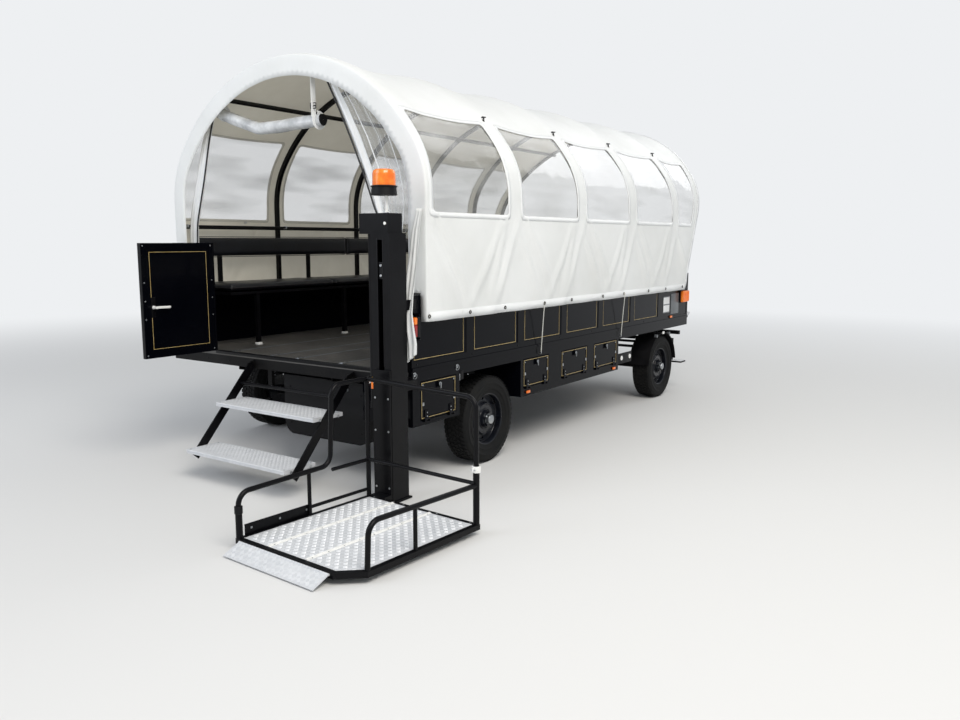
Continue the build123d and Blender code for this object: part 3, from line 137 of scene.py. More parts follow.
@dataclass(frozen=True)
class Finish:
    """One material: what it is made of, its colour, its gloss and its surface pattern."""

    name: str  # the material's common name
    colour: str  # main colour, sRGB hex
    worn: str  # colour of the lighter or dirtier parts, sRGB hex
    roughness: float  # base roughness
    metallic: float = 0.0  # one for bare metal
    pattern: Pattern = Pattern.PLAIN  # the kind of surface pattern
    pitch_mm: float = 4.0  # size of the pattern's repeat, in millimetres
    relief_mm: float = 0.2  # height of the pattern, in millimetres
    patch_mm: float = 400.0  # size of the colour and gloss variation, in millimetres
    coat: float = 0.0  # clear coat weight
    alpha: float = 1.0  # opacity
    ior: float = 1.5  # index of refraction
    glow: float = 0.0  # emission strength: painted light, for lenses that catch light and for the cloth's lining
    shine: float = 0.5  # specular level
    through: float = 0.0  # share of light that a cloth lets through
    clouding: float = 0.0  # extra opacity of a clear sheet's cloudy patches

    def build(self) -> Material:
        """Make the material on the first call, and return the same one after it."""
        found = bpy.data.materials.get(self.name)
        if found is not None:
            return found
        material = bpy.data.materials.new(self.name)
        material.diffuse_color = linear(self.colour)
        tree = cleared(material)
        place = put(tree, "ShaderNodeTexCoord").outputs["Object"]
        patches = put(tree, "ShaderNodeTexNoise", {"Vector": place, "Scale": 1 / (self.patch_mm * MM),
                                                   "Detail": 4.0, "Roughness": 0.6}).outputs["Fac"]
        ramp = put(tree, "ShaderNodeValToRGB", {"Fac": patches})
        for element, position, shade in zip(ramp.color_ramp.elements, (0.34, 0.72),
                                            (self.colour, self.worn)):
            element.position, element.color = position, linear(shade)
        colour = ramp.outputs["Color"]
        gloss = put(tree, "ShaderNodeMapRange", {
            "Value": patches, "From Min": 0.3, "From Max": 0.7,
            "To Min": self.roughness * 0.88, "To Max": min(self.roughness * 1.18, 1.0)})
        shader = put(tree, "ShaderNodeBsdfPrincipled", {
            "Base Color": colour, "Roughness": gloss.outputs["Result"], "Metallic": self.metallic,
            "Coat Weight": self.coat, "Coat Roughness": 0.06, "Alpha": self.alpha, "IOR": self.ior,
            "Specular IOR Level": self.shine})
        if self.clouding:
            slant = put(tree, "ShaderNodeMapping", {"Vector": place, "Rotation": (0.62, 0.0, 0.0),
                                                    "Scale": (0.5, 0.75, 4.2)})
            mist = put(tree, "ShaderNodeTexNoise", {"Vector": slant.outputs[0], "Scale": 1.9, "Detail": 1.0})
            cloudy = put(tree, "ShaderNodeMapRange", {
                "Value": mist.outputs["Fac"], "From Min": 0.44, "From Max": 0.74,
                "To Min": self.alpha, "To Max": self.alpha + self.clouding})
            tree.links.new(cloudy.outputs["Result"], shader.inputs["Alpha"])
        # Emission is painted light: for lenses catching light and for daylight through the lining.
        if self.glow:
            shader.inputs["Emission Color"].default_value = linear(self.colour)
            shader.inputs["Emission Strength"].default_value = self.glow
        if self.pattern is not Pattern.PLAIN:
            bump = put(tree, "ShaderNodeBump", {"Height": self._height(tree, place), "Strength": 0.6,
                                                "Distance": self.relief_mm * MM})
            tree.links.new(bump.outputs["Normal"], shader.inputs["Normal"])
        surface = shader.outputs["BSDF"]
        if self.through:
            lit = put(tree, "ShaderNodeBsdfTranslucent", {"Color": colour})
            surface = put(tree, "ShaderNodeMixShader",
                          {0: self.through, 1: surface, 2: lit.outputs["BSDF"]}).outputs[0]
        put(tree, "ShaderNodeOutputMaterial", {"Surface": surface})
        return material

    def _height(self, tree: NodeTree, place: NodeSocket) -> NodeSocket:
        """Height of the surface pattern.

        Args:
            tree: The material's tree.
            place: Object coordinates.

        Returns:
            The height's output socket.
        """
        scale = 1 / (self.pitch_mm * MM)
        spread = {"Vector": place, "Scale": scale}
        bands = {"Vector": place, "Scale": scale * 0.314}
        if self.pattern is Pattern.WOVEN:
            waves = [put(tree, "ShaderNodeTexWave", {**bands, "Distortion": 0.4}, bands_direction=axis)
                     for axis in ("Y", "Z")]
            return put(tree, "ShaderNodeMath", {k: wave.outputs["Fac"] for k, wave in enumerate(waves)},
                       operation="MULTIPLY").outputs[0]
        if self.pattern is Pattern.BRUSHED:
            drawn = put(tree, "ShaderNodeMapping", {"Vector": place, "Scale": (1.0, 0.04, 1.0)})
            return put(tree, "ShaderNodeTexNoise", {**spread, "Vector": drawn.outputs[0]}).outputs["Fac"]
        if self.pattern is Pattern.ORANGE_PEEL:
            return put(tree, "ShaderNodeTexNoise", {**spread, "Detail": 1.0}).outputs["Fac"]
        if self.pattern is Pattern.GRAINED:
            cells = put(tree, "ShaderNodeTexVoronoi", spread, feature="DISTANCE_TO_EDGE")
            return put(tree, "ShaderNodeMath", {0: cells.outputs["Distance"], 1: 0.12},
                       operation="MINIMUM").outputs[0]
        return put(tree, "ShaderNodeTexWave", bands, bands_direction="X").outputs["Fac"]


# PVC-coated polyester: white, faintly glossy, with the thread showing through the coat.
TARPAULIN = Finish("coated_tarpaulin", "#edefee", "#e2e4e2", 0.46, pattern=Pattern.WOVEN, pitch_mm=4,
                   relief_mm=0.25, patch_mm=700, ior=1.53, through=0.12)
# Two layers of that cloth, hot-air welded: a little whiter and glossier.
TARPAULIN_WELD = Finish("tarpaulin_weld", "#f1f3f3", "#e7e9e8", 0.38, pattern=Pattern.WOVEN, pitch_mm=4,
                        relief_mm=0.15, patch_mm=500, ior=1.53, through=0.1)
EYELET_BLACK = Finish("eyelet_black_brass", "#26241f", "#4a4538", 0.4, metallic=0.8, patch_mm=20)
# The same cloth from inside, where the coat is greyer and duller; its glow is painted light for daylight
# through the cloth.
TARPAULIN_INSIDE = Finish("tarpaulin_lining", "#d9d5c9", "#cbc6b8", 0.6, pattern=Pattern.WOVEN, pitch_mm=4,
                          relief_mm=0.25, patch_mm=500, ior=1.53, through=0.3, glow=0.26)
# Plasticised clear PVC: smoky, soft and slightly rippled.
WINDOW_FILM = Finish("window_film_pvc", "#a9aaa6", "#cdcecb", 0.09, pattern=Pattern.ORANGE_PEEL,
                     pitch_mm=150, relief_mm=9, patch_mm=900, alpha=0.17, ior=1.54, coat=1.0, clouding=0.17)
# The same film rolled up: layers of it look silvery.
ROLLED_FILM = Finish("rolled_film_pvc", "#a8abad", "#dfe1e1", 0.2, pattern=Pattern.ORANGE_PEEL, pitch_mm=60,
                     relief_mm=4, patch_mm=110, ior=1.54, coat=0.6)
# Two-pack coach paint, near-black navy, sprayed and polished.
COACH_PAINT = Finish("coach_paint_navy", "#030409", "#06070c", 0.2, pattern=Pattern.ORANGE_PEEL, pitch_mm=7,
                     relief_mm=0.03, patch_mm=350, coat=0.06, shine=0.08)
# Brush-lined enamel in old gold.
GOLD_LINE = Finish("gold_lining_enamel", "#b79c5c", "#d2bd85", 0.4, patch_mm=60)
# Powder-coated steel: black, even and slightly stippled.
POWDER_BLACK = Finish("powder_coat_black", "#060608", "#0c0c0f", 0.32, pattern=Pattern.ORANGE_PEEL,
                      pitch_mm=3, relief_mm=0.08, patch_mm=120, coat=0.03, shine=0.14)
# Chassis enamel with road dust on it.
CHASSIS_BLACK = Finish("chassis_enamel", "#08080a", "#171615", 0.5, pattern=Pattern.ORANGE_PEEL, pitch_mm=9,
                       relief_mm=0.2, patch_mm=160, shine=0.15)
# Mill-finish aluminium tread plate, scuffed bright on its bars.
TREAD_PLATE = Finish("tread_plate_aluminium", "#d4d6d8", "#c4c7ca", 0.5, metallic=0.12,
                     pattern=Pattern.BRUSHED, pitch_mm=5, relief_mm=0.1, patch_mm=90)
TREAD_BAR = Finish("tread_bar_polished", "#dfe1e3", "#d0d3d5", 0.42, metallic=0.12, patch_mm=60)
# Zinc-plated fittings.
ZINC = Finish("zinc_plate", "#b9bcbe", "#94989b", 0.34, metallic=1.0, pattern=Pattern.BRUSHED, pitch_mm=2,
              relief_mm=0.04, patch_mm=30)
# White powder coat on the small lever and caps.
WHITE_CAP = Finish("white_enamel", "#f2f2ef", "#e4e4e0", 0.35, patch_mm=30)
# Moulded phenolic-faced floor boards with a ribbed tread.
FLOOR_BOARD = Finish("ribbed_floor_board", "#403f3d", "#55534f", 0.55, pattern=Pattern.RIBBED, pitch_mm=14,
                     relief_mm=1.2, patch_mm=260)
# Artificial leather, black with a blue cast, fine grain.
LEATHERETTE = Finish("leatherette_black", "#0a0b10", "#12141b", 0.34, pattern=Pattern.GRAINED, pitch_mm=5,
                     relief_mm=0.35, patch_mm=140)
# Varnished plywood stained dark.
STAINED_PLY = Finish("stained_plywood", "#15161b", "#211f20", 0.45, pattern=Pattern.BRUSHED, pitch_mm=8,
                     relief_mm=0.2, patch_mm=200)
# Moulded tyre rubber: charcoal, dusty on its crown.
TYRE_RUBBER = Finish("tyre_rubber", "#0c0d0e", "#1c1c1b", 0.7, pattern=Pattern.ORANGE_PEEL, pitch_mm=6,
                     relief_mm=0.3, patch_mm=110, shine=0.18)
# Wheel enamel: gloss black with brake dust.
RIM_ENAMEL = Finish("wheel_enamel_black", "#0a0c12", "#171a21", 0.28, pattern=Pattern.ORANGE_PEEL,
                    pitch_mm=5, relief_mm=0.06, patch_mm=90, coat=0.2, shine=0.3)
# Injection-moulded lens acrylic; its glow is painted light for the light the lenses catch.
LENS_AMBER = Finish("lens_amber", "#e0660f", "#f08a24", 0.16, patch_mm=40, coat=0.5, glow=0.12)
LENS_RED = Finish("lens_red", "#7c1013", "#9a1a17", 0.16, patch_mm=40, coat=0.5, glow=0.05)
# Unpainted polyethylene and ABS mouldings.
BLACK_PLASTIC = Finish("moulded_plastic_black", "#0a0a0c", "#121214", 0.5, pattern=Pattern.GRAINED,
                       pitch_mm=4, relief_mm=0.1, patch_mm=120, shine=0.2)
# Grey-painted flat sheet.
GREY_SHEET = Finish("grey_sheet", "#55595c", "#6c7073", 0.4, metallic=0.2, patch_mm=120, coat=0.2)
# Polyester webbing and cord.
WHITE_CORD = Finish("polyester_cord_white", "#dadad4", "#c2c2ba", 0.7, pattern=Pattern.WOVEN, pitch_mm=3,
                    relief_mm=0.4, patch_mm=50)
BLACK_PIPING = Finish("piping_black", "#1a1a1c", "#29292b", 0.6, patch_mm=60)
BRASS = Finish("brass_bare", "#a9803a", "#8a6a32", 0.35, metallic=1.0, patch_mm=20)


# --------------------------------------------------------------------------- mesh making


def linked(name: str, data: ID) -> Object:
    """Make an object of some data in the scene."""
    made = bpy.data.objects.new(name, data)
    bpy.context.scene.collection.objects.link(made)
    return made


def settle(made: Object, body: str, replaced: str = "") -> Object:
    """Put a finished piece on its body.

    Args:
        made: The piece.
        body: The CAD body that carries it.
        replaced: CAD node that it stands for, if any.

    Returns:
        The piece.
    """
    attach(made, body)
    if replaced:
        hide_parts(replaced)
    LOG.info("%s on %s: %d faces", made.name, body, len(made.data.polygons))
    return made


def plain(source: Object, name: str) -> Object:
    """Turn an object with live modifiers into a plain mesh.

    Args:
        source: The object, which is removed.
        name: The plain object's name.

    Returns:
        The plain object.
    """
    bpy.context.view_layer.update()
    graph = bpy.context.evaluated_depsgraph_get()
    data = bpy.data.meshes.new_from_object(source.evaluated_get(graph), depsgraph=graph)
    old = source.data
    bpy.data.objects.remove(source)
    if old.users == 0:
        bpy.data.meshes.remove(old)
    data.name = name
    return linked(name, data)


def walled(data: Mesh, thick: float, offset: float, replaced: str = "") -> Object:
    """Give a sheet of cloth or film its thickness and put it on the wagon.

    Args:
        data: The sheet, whose second finish, if any, is its inner side's.
        thick: Its thickness.
        offset: Zero for a wall on both sides of the sheet, minus one for the inner side only.
        replaced: CAD node that it stands for, if any.

    Returns:
        The piece.
    """
    name = data.name
    draft = linked(name, data)
    wall = draft.modifiers.new("wall", "SOLIDIFY")
    wall.thickness, wall.offset = thick, offset
    wall.material_offset = 1 if offset and len(data.materials) > 1 else 0
    return settle(plain(draft, name), "wagon", replaced)


def oval(wide: float, high: float, sides: int) -> list[Pair]:
    """Corner points of an oval, by its half width, half height and number of sides."""
    return [(wide * cos(a), high * sin(a)) for a in (tau * k / sides for k in range(sides))]


def along(start: Sequence[float], end: Sequence[float], share: float) -> list[float]:
    """Numbers that lie some share of the way from one row of numbers to another."""
    return [a + (b - a) * share for a, b in zip(start, end)]


def rounded(points: Sequence[Point], bend: float, steps: int = 5) -> list[Vector]:
    """Round a run's corners with arcs.

    Args:
        points: Corner points of the run.
        bend: Largest bend radius.
        steps: Points on each bend.

    Returns:
        The run's points with its corners rounded.
    """
    run = [Vector(p) for p in points]
    if bend <= 0 or len(run) < 3:
        return run
    out = [run[0]]
    for before, corner, after in zip(run, run[1:], run[2:]):
        a, b = (before - corner), (after - corner)
        reach = min(bend, a.length * 0.49, b.length * 0.49)
        start, end = corner + a.normalized() * reach, corner + b.normalized() * reach
        for i in range(steps + 1):
            t = i / steps
            out.append(start * (1 - t) ** 2 + corner * 2 * t * (1 - t) + end * t * t)
    return out + [run[-1]]


class Shape:
    """One piece under construction: simple forms are added to it, then it becomes an object."""

    def __init__(self, *finishes: Finish) -> None:
        """Start an empty shape with the finishes that its forms may take, the first one in use."""
        self.mesh = bmesh.new()
        self.finishes = finishes
        self.paint = 0

    def use(self, finish: Finish) -> Shape:
        """Give the forms that follow a finish, and return the shape."""
        self.paint = self.finishes.index(finish)
        return self

    def _dress(self, faces: Iterable[BMFace], outwards: bool = True) -> None:
        """Give new faces the finish in use, and turn them outwards if asked."""
        faces = list(faces)
        if outwards:
            bmesh.ops.recalc_face_normals(self.mesh, faces=faces)
        for face in faces:
            face.material_index = self.paint
            face.smooth = True

    def _join(self, rows: Iterable[Sequence[Point]], closed: bool = True, loop: bool = False,
              caps: int = 0) -> list[BMFace]:
        """Join rows of points, or single points, with faces.

        Args:
            rows: The rows, each with as many points or with one.
            closed: Whether each row closes on itself.
            loop: Whether the last row is joined to the first.
            caps: One for a face over the last row, two for one over the first row too.

        Returns:
            The new faces.
        """
        rings = [[self.mesh.verts.new(Vector(p)) for p in row] for row in rows]
        faces = []
        for low, high in list(zip(rings, rings[1:])) + ([(rings[-1], rings[0])] if loop else []):
            count = max(len(low), len(high))
            for i in range(count if closed else count - 1):
                j = (i + 1) % count
                spots = (low[i % len(low)], low[j % len(low)], high[j % len(high)], high[i % len(high)])
                faces.append(self.mesh.faces.new(list(dict.fromkeys(spots))))
        ends = (rings[-1], rings[0][::-1])
        return faces + [self.mesh.faces.new(end) for end in ends[:caps]]

    def box(self, low: Point, high: Point, bevel: float = 0.002, place: Matrix | None = None) -> None:
        """Add a box with rounded edges.

        Args:
            low: One corner.
            high: The opposite corner.
            bevel: Rounding of its edges.
            place: Matrix that moves the box after it is made.
        """
        low_v, high_v = (Vector([pick(pair) for pair in zip(low, high)]) for pick in (min, max))
        size = high_v - low_v
        middle = Matrix.Translation((low_v + high_v) / 2)
        matrix = (place or Matrix.Identity(4)) @ middle @ Matrix.Diagonal((*size, 1))
        made = bmesh.ops.create_cube(self.mesh, size=1.0, matrix=matrix)
        edges = list({e for v in made["verts"] for e in v.link_edges})
        bevelled = bmesh.ops.bevel(self.mesh, geom=edges, offset=min(bevel, min(size) * 0.45), segments=2,
                                   affect="EDGES", profile=0.6)
        self._dress({f for face in bevelled["faces"] for v in face.verts for f in v.link_faces})

    def side(self, out: int, from_x: float, boxes: Iterable[tuple] = (), rods: Iterable[tuple] = ()) -> None:
        """Add boxes and rods to one side of the wagon, with X measured outwards.

        Args:
            out: The side's direction along X.
            from_x: Distance from the middle where X is zero.
            boxes: Finish, X range, Y range, Z range and bevel of each box.
            rods: Finish, X range, Y, Z, radius and number of sides of each rod.
        """
        for finish, x0, x1, y0, y1, z0, z1, bevel in boxes:
            self.use(finish).box((out * (from_x + x0), y0, z0), (out * (from_x + x1), y1, z1), bevel)
        for finish, x0, x1, y, z, radius, sides in rods:
            self.use(finish).rod((out * (from_x + x0), y, z), (out * (from_x + x1), y, z), radius, sides)

    def rod(self, start: Point, end: Point, radius: float, sides: int = 20) -> None:
        """Add a round bar with slightly rounded ends.

        Args:
            start: Middle of one end.
            end: Middle of the other end.
            radius: Its radius.
            sides: Sides of its outline.
        """
        way = Vector(end) - Vector(start)
        ease = min(radius * 0.15, way.length * 0.2, 0.003)
        profile = [(0, 0), (radius - ease, 0), (radius, ease), (radius, way.length - ease),
                   (radius - ease, way.length), (0, way.length)]
        self.lathe(profile, start, way, sides)

    def lathe(self, profile: Sequence[Pair], centre: Point = (0, 0, 0), axis: Point = UP,
              sides: int = 32) -> None:
        """Add a turned form.

        Args:
            profile: Radius and height pairs, from the start of the axis.
            centre: Where the axis starts.
            axis: The axis's direction.
            sides: Sides of the outline.
        """
        turn = Vector(axis).normalized().to_track_quat("Z", "Y").to_matrix().to_4x4()
        place = Matrix.Translation(Vector(centre)) @ turn
        rings = [oval(radius, radius, sides) if radius >= 1e-6 else [(0, 0)] for radius, _ in profile]
        self._dress(self._join([place @ Vector((x, y, height)) for x, y in ring]
                               for ring, (_, height) in zip(rings, profile)))

    def tube(self, points: Sequence[Point], radius: float, bend: float = 0.0, sides: int = 8,
             closed: bool = False) -> None:
        """Add a round tube along a run.

        Args:
            points: Corner points of the run.
            radius: The tube's radius.
            bend: Bend radius at its corners.
            sides: Sides of its outline.
            closed: Whether the run is a loop.
        """
        self.sweep(rounded(points, bend), oval(radius, radius, sides), closed)

    def sweep(self, run: Sequence[Point], outline: Sequence[Pair], closed: bool = False,
              up: Point | None = None) -> None:
        """Add an outline drawn along a run.

        Args:
            run: Points of the run.
            outline: Corner points of the section, across and up.
            closed: Whether the run is a loop.
            up: Direction that the section's up keeps to, carried along the run if left out.
        """
        run = [Vector(p) for p in run]
        rows, across = [], None
        for i, spot in enumerate(run):
            ahead = run[(i + 1) % len(run)] if closed or i < len(run) - 1 else spot
            behind = run[i - 1] if closed or i > 0 else spot
            way = (ahead - behind).normalized()
            if up is not None:
                across = way.cross(Vector(up)).normalized()
            elif across is None:
                across = way.cross(Vector(UP if abs(way.z) < 0.9 else (1, 0, 0))).normalized()
            else:
                across = (across - way * across.dot(way)).normalized()
            rise = across.cross(way).normalized()
            rows.append([spot + across * u + rise * v for u, v in outline])
        self._dress(self._join(rows, loop=closed, caps=0 if closed else 2))

    def line(self, points: Sequence[Point], out: int, width: float, closed: bool = False) -> None:
        """Add a painted line on a face that looks along X.

        Args:
            points: Corner points of the line, on the face.
            out: The face's outward direction along X.
            width: The line's width.
            closed: Whether it is a loop.
        """
        normal, half, deep = Vector((out, 0, 0)), width / 2, 0.0004
        run = [Vector(p) + normal * deep for p in (points if out > 0 else points[::-1])]
        rows = []
        for i, spot in enumerate(run):
            ways = [(run[(i + 1) % len(run)] - spot).normalized()] if closed or i < len(run) - 1 else []
            ways += [(spot - run[i - 1]).normalized()] if closed or i > 0 else []
            way = sum(ways, Vector()).normalized()
            across = way.cross(normal).normalized() / max(abs(way.dot(ways[0])), 0.3)
            corners = ((-half, -deep), (half, -deep), (half, deep), (-half, deep))
            rows.append([spot + across * u + normal * v for u, v in corners])
        self._dress(self._join(rows, loop=closed, caps=0 if closed else 2))

    def grid(self, rows: Sequence[Sequence[Point]], closed: bool = False) -> None:
        """Add a surface through rows of points, each of which may close on itself."""
        self._dress(self._join(rows, closed), outwards=False)

    def bump(self, foot: Sequence[Point], top: Sequence[Point]) -> None:
        """Add a low form that is open below, by the corner points of its foot and its top."""
        self._dress(self._join((foot, top), caps=1), outwards=False)

    def data(self, name: str) -> Mesh:
        """Write the forms to a new mesh with their finishes."""
        data = bpy.data.meshes.new(name)
        self.mesh.to_mesh(data)
        self.mesh.free()
        for finish in self.finishes:
            data.materials.append(finish.build())
        return data

    def piece(self, name: str, body: str, slot: str, replaced: str = "",
              crease_deg: float = 32.0) -> Object:
        """Make the object and put it on its body.

        Args:
            name: The piece's name.
            body: The CAD body that carries it.
            slot: The record's material slot; not used.
            replaced: CAD node that it stands for, if any.
            crease_deg: Angle past which an edge stays sharp.

        Returns:
            The new object.
        """
        data = self.data(name)
        data.set_sharp_from_angle(angle=radians(crease_deg))
        return settle(linked(name, data), body, replaced)


@dataclass
class Spot:
    """One place for a repeated form."""

    at: Point  # where it sits
    facing: Point = UP  # the direction of the form's own Z
    spin: float = 0.0  # its turn about that direction, in degrees
    grow: float = 1.0  # its size against the form's own

    def turn(self) -> Point:
        """The spot's turn as Euler angles."""
        spin = Matrix.Rotation(radians(self.spin), 4, "Z").to_quaternion()
        return tuple((Vector(self.facing).to_track_quat("Z", "Y") @ spin).to_euler())


def spin_to(normal: Vector, wanted: Vector) -> float:
    """Turn about a normal, in degrees, that brings a form's own X to the wanted direction."""
    zero = normal.to_track_quat("Z", "Y").to_matrix() @ Vector((1, 0, 0))
    return degrees(atan2(normal.dot(zero.cross(wanted)), zero.dot(wanted)))


def copies_tree(name: str) -> tuple[NodeTree, dict[str, str]]:
    """Make the node tree that sets copies of a form on points.

    Args:
        name: The tree's name.

    Returns:
        The tree, and the identifier of each of its named inputs.
    """
    tree = bpy.data.node_groups.new(name, "GeometryNodeTree")
    face = tree.interface
    face.new_socket("Geometry", in_out="INPUT", socket_type="NodeSocketGeometry")
    kinds = {"Form": "Object", "Size": "Float", "Wobble": "Float", "Seed": "Int", "Finish": "Material"}
    sockets = {key: face.new_socket(key, in_out="INPUT", socket_type="NodeSocket" + kind).identifier
               for key, kind in kinds.items()}
    face.new_socket("Geometry", in_out="OUTPUT", socket_type="NodeSocketGeometry")
    given = put(tree, "NodeGroupInput").outputs
    source = put(tree, "GeometryNodeObjectInfo", {"Object": given["Form"]})
    turn, grow = (put(tree, "GeometryNodeInputNamedAttribute", {"Name": key},
                      data_type="FLOAT_VECTOR").outputs["Attribute"] for key in ("turn", "grow"))
    rotation = put(tree, "FunctionNodeEulerToRotation", {"Euler": turn})
    size = put(tree, "ShaderNodeVectorMath", {0: grow, "Scale": given["Size"]}, operation="SCALE")
    least = put(tree, "ShaderNodeMath", {0: given["Wobble"], 1: -1.0}, operation="MULTIPLY")
    chance = put(tree, "FunctionNodeRandomValue", {"Seed": given["Seed"], 2: least.outputs[0],
                                                   3: given["Wobble"]}, data_type="FLOAT")
    about_z = put(tree, "ShaderNodeCombineXYZ", {"Z": chance.outputs[1]})
    wobble = put(tree, "FunctionNodeEulerToRotation", {"Euler": about_z.outputs[0]})
    both = put(tree, "FunctionNodeRotateRotation", {"Rotation": rotation.outputs[0],
                                                    "Rotate By": wobble.outputs[0]}, rotation_space="LOCAL")
    copies = put(tree, "GeometryNodeInstanceOnPoints", {
        "Points": given["Geometry"], "Instance": source.outputs["Geometry"],
        "Rotation": both.outputs[0], "Scale": size.outputs[0]})
    real = put(tree, "GeometryNodeRealizeInstances", {"Geometry": copies.outputs["Instances"]})
    dressed = put(tree, "GeometryNodeSetMaterial", {"Geometry": real.outputs["Geometry"],
                                                    "Material": given["Finish"]})
    put(tree, "NodeGroupOutput", {0: dressed.outputs["Geometry"]})
    return tree, sockets


def scatter(name: str, body: str, finish: Finish, form: Shape, spots: Sequence[Spot],
            wobble_deg: float = 0.0) -> Object:
    """Place copies of a form by Geometry Nodes and make them one plain mesh.

    Args:
        name: The piece's name.
        body: The CAD body that carries it.
        finish: The copies' finish.
        form: The form, around the origin with its Z outwards.
        spots: Where the copies go.
        wobble_deg: Random turn about each copy's own Z, such as a screw slot's.

    Returns:
        The piece.
    """
    seed = linked(name + "_form", form.data(name + "_form"))
    points = bpy.data.meshes.new(name + "_points")
    points.from_pydata([s.at for s in spots], [], [])
    for key, values in (("turn", [s.turn() for s in spots]), ("grow", [(s.grow,) * 3 for s in spots])):
        attribute = points.attributes.new(key, "FLOAT_VECTOR", "POINT")
        attribute.data.foreach_set("vector", [c for value in values for c in value])
    holder = linked(name, points)
    modifier = holder.modifiers.new("copies", "NODES")
    modifier.node_group, sockets = copies_tree(name + "_copies")
    for key, value in (("Form", seed), ("Size", 1.0), ("Wobble", radians(wobble_deg)),
                       ("Seed", SEED), ("Finish", finish.build())):
        modifier[sockets[key]] = value
    made = plain(holder, name)
    bpy.data.objects.remove(seed)
    for polygon in made.data.polygons:
        polygon.use_smooth = True
    made.data.set_sharp_from_angle(angle=radians(32))
    return settle(made, body)


def hex_bolt(across: float = 0.013, height: float = 0.006) -> Shape:
    """A bolt head on its washer, standing up from the origin."""
    form = Shape()
    form.lathe([(0, 0), (across * 0.8, 0), (across * 0.8, height * 0.2), (across * 0.5, height * 0.22)],
               sides=16)
    form.lathe([(across * 0.577, height * 0.2), (across * 0.577, height * 0.85), (across * 0.48, height),
                (0, height)], sides=6)
    return form


def dome_screw(radius: float = 0.006, height: float = 0.0028) -> Shape:
    """A domed screw head standing up from the origin."""
    form = Shape()
    form.lathe([(radius, 0), (radius * 0.92, height * 0.55), (radius * 0.6, height * 0.92), (0, height)],
               sides=14)
    return form


# --------------------------------------------------------------------------- cover


def smooth_noise(*spot: float) -> float:
    """Smooth noise between about minus one and one."""
    return noise.noise(Vector(spot))


def hump(value: float, middle: float, width: float) -> float:
    """A bell curve that is one at its middle."""
    return exp(-(((value - middle) / width) ** 2))


def limited(value: float) -> float:
    """The value, kept between zero and one."""
    return min(max(value, 0.0), 1.0)


def inside(spots: np.ndarray, outer: Sequence[Pair], holes: Sequence[Sequence[Pair]]) -> np.ndarray:
    """Which points of the plane lie within an outline and in none of its holes.

    Args:
        spots: The points, one in a row.
        outer: The outline.
        holes: Outlines of its holes.

    Returns:
        True for each point that does.
    """
    x, y = spots[:, 0], spots[:, 1]
    kept = np.ones(len(spots), bool)
    for number, ring in enumerate((outer, *holes)):
        found = np.zeros(len(spots), bool)
        for (ax, ay), (bx, by) in zip(ring, (*ring[1:], ring[0])):
            if ay != by:
                found ^= ((ay > y) != (by > y)) & (x < (bx - ax) * (y - ay) / (by - ay) + ax)
        kept &= ~found if number else found
    return kept


def curved(corners: Sequence[Pair], radius: float) -> list[Pair]:
    """Round the corners of an outline."""
    out = []
    for three in zip((*corners[-1:], *corners[:-1]), corners, (*corners[1:], corners[0])):
        out.extend((p.x, p.y) for p in rounded([(*corner, 0) for corner in three], radius)[1:-1])
    return out


def dense(ring: Sequence[Pair], step: float) -> list[Pair]:
    """Put more points on an outline's long sides."""
    out = []
    for a, b in zip(ring, (*ring[1:], ring[0])):
        count = max(round(dist(a, b) / step), 1)
        out.extend(tuple(along(a, b, k / count)) for k in range(count))
    return out


def merge(whole: BMesh, part: BMesh) -> None:
    """Add a mesh to another and free it."""
    data = bpy.data.meshes.new("part")
    part.to_mesh(data)
    part.free()
    whole.from_mesh(data)
    bpy.data.meshes.remove(data)


@dataclass(frozen=True)
class ArchLine:
    """The canopy's cross line, measured along the cloth from the right hem over the top."""

    half: float = 1.25  # half of the width at the sides
    top: float = 2.83  # height of the crown
    spring: float = 1.88  # height where the haunch arcs start
    bottom: float = 1.085  # height of the hem
    haunch: float = 0.62  # radius of the haunch arcs

    @property
    def crown(self) -> float:
        """Radius of the crown arc."""
        rise = self.top - self.spring
        return ((self.half - self.haunch) ** 2 + rise**2 - self.haunch**2) / (2 * (rise - self.haunch))

    @property
    def join(self) -> float:
        """Angle above the level where haunch meets crown."""
        return atan2(self.spring - (self.top - self.crown), self.half - self.haunch)

    @property
    def legs(self) -> Point:
        """Lengths of a side, a haunch and half of the crown."""
        return self.spring - self.bottom, self.haunch * self.join, self.crown * (pi / 2 - self.join)

    @property
    def length(self) -> float:
        """The cloth's whole width from hem to hem."""
        return 2 * sum(self.legs)

    def at(self, s: float) -> tuple[float, float, float, float]:
        """Place and outward direction on the line.

        Args:
            s: Distance from the right hem along the cloth.

        Returns:
            X, Z and the outward direction's X and Z.
        """
        side, haunch, _ = self.legs
        way = -1 if s > self.length / 2 else 1
        t = self.length - s if way < 0 else s
        if t <= side:
            return way * self.half, self.bottom + t, way, 0.0
        if t <= side + haunch:
            a, radius, x, z = (t - side) / self.haunch, self.haunch, self.half - self.haunch, self.spring
        else:
            a = self.join + (t - side - haunch) / self.crown
            radius, x, z = self.crown, 0.0, self.top - self.crown
        return way * (x + radius * cos(a)), z + radius * sin(a), way * cos(a), sin(a)

    def s_at(self, z: float) -> float:
        """Distance from the right hem where the right side reaches a height."""
        side, haunch, _ = self.legs
        if z <= self.spring:
            return z - self.bottom
        a = asin(min((z - self.spring) / self.haunch, 1.0))
        if a <= self.join:
            return side + a * self.haunch
        a = asin(min((z - (self.top - self.crown)) / self.crown, 1.0))
        return side + haunch + (a - self.join) * self.crown


